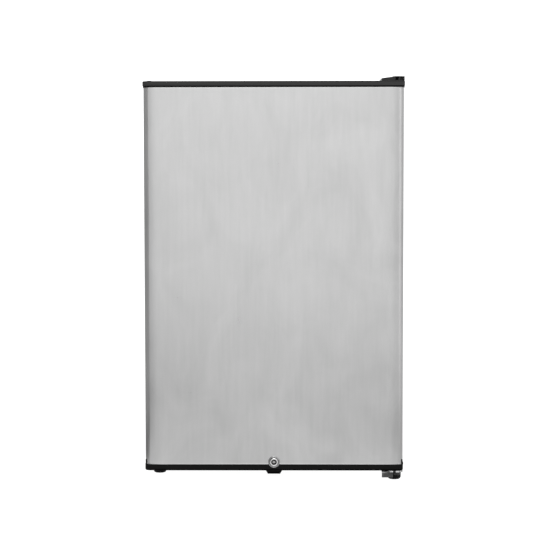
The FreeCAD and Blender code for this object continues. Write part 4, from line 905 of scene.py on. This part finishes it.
# ---------------------------------------------------------------- freezer and cold system
def ridge(mesh, path, half_wide, high, normal, side):
    """A low rounded channel along path, standing on a sheet whose outward direction is normal."""
    rings = []
    for i, point in enumerate(path):
        before, after = path[max(i - 1, 0)], path[min(i + 1, len(path) - 1)]
        along = (after - before).normalized()
        across = along.cross(normal).normalized()
        ring = []
        for k in range(9):
            angle = math.pi * k / 8
            ring.append(point + across * half_wide * math.cos(angle) + normal * high * math.sin(angle))
        ring.append(point - across * half_wide - normal * side)
        ring.append(point + across * half_wide - normal * side)
        rings.append(ring)
    loft(mesh, rings)


def serpentine(x0, x1, y0, y1, rows):
    """Points of a path that runs to and fro along x with round turns."""
    pitch = (y1 - y0) / (rows - 1)
    radius = pitch / 2
    points = []
    for row in range(rows):
        y = y0 + row * pitch
        start, end = (x0 + radius, x1 - radius) if row % 2 == 0 else (x1 - radius, x0 + radius)
        points += [(start + (end - start) * i / 6, y) for i in range(7)]
        if row < rows - 1:
            side = 1 if row % 2 == 0 else -1
            for k in range(1, 8):
                angle = -math.pi / 2 + math.pi * k / 8
                across, along = radius * math.cos(angle), radius * math.sin(angle)
                points.append((end + side * across, y + radius + along))
    return points


def build_evaporator():
    """The aluminium sleeve with the refrigerant channels blown up out of its sheet."""
    low, high = corners_of("evaporator_box")
    mesh = cad_copy("evaporator_box")
    soften(mesh, 0.5, limit=40)
    inside = 1.6
    for z, up in ((low[2] + inside, 1), (high[2] - inside, -1)):
        normal = Vector((0, 0, up))
        path = [Vector((x, y, z)) for x, y in serpentine(-176, 176, low[1] + 22, high[1] - 22, 6)]
        ridge(mesh, path, 3.6, 1.1, normal, 0.8)
    finish("evaporator_roll_bonded", mesh, "aluminium", "cabinet", ["evaporator_box"], sharp=40)


def build_compressor_top():
    """The drawn upper shell, with a smooth crown and the weld round its rim."""
    low, high = corners_of("compressor_upper_shell")
    centre = ((low[0] + high[0]) / 2, (low[1] + high[1]) / 2)
    r = (high[0] - low[0]) / 2
    crown = []
    for i in range(15):
        angle = math.radians(90 * i / 14)
        crown.append((12 + (r - 12) * math.cos(angle) ** 0.62, high[2] - 40 + 40 * math.sin(angle) ** 0.9))
    weld = [
        (r - 2.1, low[2]), (r - 0.9, low[2]), (r - 0.2, low[2] + 0.8), (r, low[2] + 2.0),
        (r - 0.1, low[2] + 3.2), (r - 0.7, low[2] + 4.0),
    ]

    def beaded(angle, radius, height):
        on_the_weld = height < low[2] + 3.5 and radius > r - 0.5
        return radius - 0.25 * abs(math.sin(60 * angle)) if on_the_weld else radius

    inner = [
        (9.0, high[2] - 3.0), (r - 40, high[2] - 3.4), (r - 16, high[2] - 12), (r - 5.2, high[2] - 34),
        (r - 5.2, low[2] + 8.1), (r - 2.1, low[2] + 8.1),
    ]
    wall = r - 0.6
    outer = weld + [(wall, low[2] + 6), (wall, high[2] - 40)] + [(min(a, wall), b) for a, b in crown[1:]]
    mesh = bmesh.new()
    lathe(mesh, outer + inner, centre, "Z", 240, loop=True, wobble=beaded)
    finish("compressor_crown", mesh, "black_metal", "cabinet", ["compressor_upper_shell"], sharp=45)


def build_knob_scale():
    """Raised marks round the thermostat's knob, longer for each whole step."""
    low, high = corners_of("thermostat_knob")
    face_x = corners_of("thermostat_housing")[0][0]
    centre = ((low[1] + high[1]) / 2, (low[2] + high[2]) / 2)
    mesh = bmesh.new()
    for step in range(13):
        angle = math.radians(-50 + 23.4 * step)
        length = 3.0 if step % 2 == 0 else 1.6
        mark = block(mesh, (face_x - 0.35, -0.35, 20.6), (face_x + 0.3, 0.35, 20.6 + length))
        turn = Matrix.Rotation(angle - math.pi / 2, 3, "X")
        bmesh.ops.rotate(mesh, cent=(0, 0, 0), matrix=turn, verts=mark)
        bmesh.ops.translate(mesh, vec=(0, centre[0], centre[1]), verts=mark)
    soften(mesh, 0.1)
    finish("thermostat_scale", mesh, "black_plastic", "cabinet", sharp=35)


# ---------------------------------------------------------------- soft edges on the CAD's own meshes
EDGE_WIDTHS = {
    "outer_wrapper": 0.5, "back_panel": 0.3, "base_pan": 0.3, "inner_liner": 0.9, "compressor_plate": 0.4,
    "compressor_lower_shell": 0.5, "compressor_grommets": 0.4, "compressor_bolts": 0.3, "terminal_cover": 1.0,
    "evaporation_tray": 0.6, "condenser_brackets": 0.6, "cord_gland": 0.5, "drain_tube": 0.3,
    "evaporator_hangers": 0.6, "freezer_frame": 0.8, "shelf_trims": 0.6, "thermostat_housing": 0.6,
    "thermostat_body": 0.4, "lamp_lens": 0.5, "upper_hinge_bracket": 0.4, "lock_strike": 0.4,
    "shelf_glass_lower": 0.7, "shelf_glass_middle": 0.7, "shelf_glass_upper": 0.7, "door_liner": 1.0,
    "hinge_bushes": 0.3, "door_rack_top": 0.6, "door_rack_middle": 0.6, "door_rack_bottom": 0.6,
    "lock_cam": 0.3, "freezer_flap": 0.7, "drip_tray": 0.5, "chill_drawer": 0.6, "thermostat_knob": 0.35,
    "filter_drier": 0.6, "hinge_hole_plug": 0.2,
}


def round_edges(node, width):
    """Bevels the sharp edges of a CAD node without touching its own mesh."""
    part = NODES[node]
    weld = part.modifiers.new("weld", "WELD")
    weld.merge_threshold = 2e-6
    flat = part.modifiers.new("flat", "DECIMATE")
    flat.decimate_type, flat.angle_limit = "DISSOLVE", math.radians(0.5)
    bevel = part.modifiers.new("bevel", "BEVEL")
    bevel.width, bevel.segments = width * MM, 2
    bevel.limit_method, bevel.angle_limit = "ANGLE", math.radians(35)
    bevel.harden_normals = True
    bevel.use_clamp_overlap = True


HINGE = tuple(c * 1000 for c in frame["joints"][0]["pos_m"][:2])
# a darker copy of chrome: painted reflection of dark surroundings on the lock's bezel
BEZEL_CHROME_PAINTED_REFLECTION = plated("chrome_bezel", 0.30, 0.16)
# near-black paint for the lock's recess: painted shade
LOCK_RECESS_PAINTED_SHADE = painted("lock_recess_painted_shade", 0.012, 0.5)
# both carry painted shade on level faces; CAP_FRONT is also painted darker towards the upper cap's top edge
TOP_BLACK = cap_plastic("cap_black_top", 0.018, 0.45, 0.14)
CAP_FRONT = cap_plastic("cap_black_front", 0.018, 0.4, 0.18, fade=(0.799, 0.8025))
# near-black plastic laid in grooves and flutes as painted shadow
CAP_GAP_PAINTED_SHADOW = cap_plastic("cap_black_gap_painted_shadow", 0.002, 0.7, 0.0)
DULL_ZINC = plated("zinc_dull", 0.62, 0.42)
# dark grey paint for the hinge bracket's flange: painted shade
RIB_PAINTED_SHADE = painted("rib_painted_shade", 0.09, 0.5)

build_door_sheet()
build_door_foam()
build_top_cap()
build_bottom_cap()
build_lock()
build_front_foot("front_left_foot", "foot_left_threaded")
build_front_foot("front_right_foot", "foot_right_threaded")
build_rear_feet()
build_hinge_cover()
build_lower_hinge()
build_gasket()
build_screws()
build_evaporator()
build_compressor_top()
build_knob_scale()
for node, width in EDGE_WIDTHS.items():
    round_edges(node, width)


# ---------------------------------------------------------------- floor, light and camera
# the sky's level at each sine of the height over the horizon
SKY = [(-1.0, 0.6), (0.0, 0.58), (0.1, 0.672), (0.3, 0.8), (0.6, 1.0), (1.0, 0.9)]
SKY_STRENGTH = 2.35
FLOOR_GLOW = 0.99
CARD_DISTANCE = 0.85               # to each side of the middle
# side, name, level, and the y where the card starts and ends
CARDS = [
    (-1, "flag_left", 0.45, -2.1, 0.9),
    (1, "flag_right", 0.82, -3.6, -1.3),
    (1, "flag_right_rear", 0.8, -0.6, 0.9),
]
# side, name, level, and how far from the middle the strip of floor starts
STRIPS = [(-1, "flag_left_floor", 0.18, 0.42), (1, "flag_right_floor", 0.7, 0.30)]


def build_floor():
    """A pale studio floor, lit a little from below, that runs far past the object."""
    mesh = bpy.data.meshes.new("floor")
    sides, reach = 72, 30
    turns = [math.tau * i / sides for i in range(sides)]
    rim = [Vector((reach * math.cos(a), reach * math.sin(a), 0)) for a in turns]
    mesh.from_pydata(rim, [], [list(range(sides))])
    floor = bpy.data.objects.new("floor", mesh)
    bpy.context.scene.collection.objects.link(floor)
    paint = Recipe("floor_paint", shade(0.14), 0.8, Specular_IOR_Level=0.0)
    grain = paint.noise(3.0, 4.0)
    paint.link(paint.between(grain, shade(0.135), shade(0.145)), "Base Color")
    paint.bump(paint.noise(60, 3.0), 0.02, 0.002)
    paint.set("Emission Color", (1.0, 1.0, 1.0, 1.0))
    paint.set("Emission Strength", FLOOR_GLOW)
    mesh.materials.append(paint.material)


def build_world():
    """A white studio, brightest above the horizon."""
    world = bpy.data.worlds.new("studio")
    bpy.context.scene.world = world
    world.use_nodes = True
    tree = world.node_tree
    background = tree.nodes["Background"]
    direction = tree.nodes.new("ShaderNodeTexCoord").outputs["Generated"]
    split = tree.nodes.new("ShaderNodeSeparateXYZ")
    tree.links.new(direction, split.inputs["Vector"])
    reach = tree.nodes.new("ShaderNodeMapRange")
    reach.inputs["From Min"].default_value = -1.0
    reach.inputs["From Max"].default_value = 1.0
    tree.links.new(split.outputs["Z"], reach.inputs["Value"])
    ramp = tree.nodes.new("ShaderNodeValToRGB")
    tree.links.new(reach.outputs["Result"], ramp.inputs["Fac"])
    elements = ramp.color_ramp.elements
    while len(elements) < len(SKY):
        elements.new(0.5)
    for element, (position, level) in zip(elements, SKY):
        element.position = (position + 1) / 2
        element.color = (level, level, level, 1.0)
    tree.links.new(ramp.outputs["Color"], background.inputs["Color"])
    background.inputs["Strength"].default_value = SKY_STRENGTH


def flag(name, corners, level):
    """A grey card that only polished surfaces reflect, as a studio's flags shape a metal's edge."""
    mesh = bpy.data.meshes.new(name)
    mesh.from_pydata([Vector(c) for c in corners], [], [(0, 1, 2, 3)])
    card = bpy.data.objects.new(name, mesh)
    bpy.context.scene.collection.objects.link(card)
    grey = Recipe(name + "_grey", shade(0.0), 1.0, Specular_IOR_Level=0.0)
    grey.set("Emission Color", (1.0, 1.0, 1.0, 1.0))
    grey.set("Emission Strength", level)
    mesh.materials.append(grey.material)
    card.visible_camera = False
    card.visible_diffuse = False
    card.visible_transmission = False
    card.visible_shadow = False


def build_flags():
    """Tall cards beside the object, darker strips of floor below them, and a pale floor in front."""
    for side, name, level, front, back in CARDS:
        wall, high = side * CARD_DISTANCE, 2.2
        flag(name, [(wall, front, 0), (wall, back, 0), (wall, back, high), (wall, front, high)], level)
    for side, name, level, foot in STRIPS:
        wall, foot, back, above = side * CARD_DISTANCE, side * foot, 0.9, 0.002
        strip = [(wall, -2.1, above), (foot, -1.6, above), (foot, back, above), (wall, back, above)]
        flag(name, strip, level)
    half, near, far, above = 1.5, -0.33, -2.6, 0.001
    pale = [(-half, far, above), (half, far, above), (half, near, above), (-half, near, above)]
    flag("flag_front_floor", pale, 0.99)


def area_light(name, place, aim, size, power):
    """A rectangular lamp at place, turned towards aim."""
    light = bpy.data.lights.new(name, "AREA")
    light.shape = "RECTANGLE"
    light.size, light.size_y = size
    light.energy = power
    lamp = bpy.data.objects.new(name, light)
    lamp.location = place
    lamp.rotation_mode = "QUATERNION"
    lamp.rotation_quaternion = (Vector(aim) - Vector(place)).to_track_quat("-Z", "Y")
    bpy.context.scene.collection.objects.link(lamp)


CAMERA_DISTANCE = 3.0              # from the door's face
CAMERA_PITCH = math.radians(3.606)
CAMERA_ROLL = math.radians(0.064)
CAMERA_YAW = math.radians(0.616)
CAMERA_X = 34.93 * MM
CAMERA_HIGH = 607.7 * MM           # above the floor
CAMERA_LENS, CAMERA_SENSOR = 98.815, 36.0


def build_camera():
    """The photograph's view of the door."""
    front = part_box("door_skin")[0].y
    data = bpy.data.cameras.new("camera")
    data.lens, data.sensor_width = CAMERA_LENS, CAMERA_SENSOR
    camera = bpy.data.objects.new("camera", data)
    camera.location = (CAMERA_X, front - CAMERA_DISTANCE, CAMERA_HIGH)
    camera.rotation_euler = (math.pi / 2 - CAMERA_PITCH, CAMERA_ROLL, CAMERA_YAW)
    bpy.context.scene.collection.objects.link(camera)
    bpy.context.scene.camera = camera


build_floor()
build_world()
build_flags()
area_light("overhead", (-0.6, -1.2, 3.2), (0, 0, 0.4), (3.0, 2.0), 20)
build_camera()
bpy.context.scene.view_settings.view_transform = "Standard"
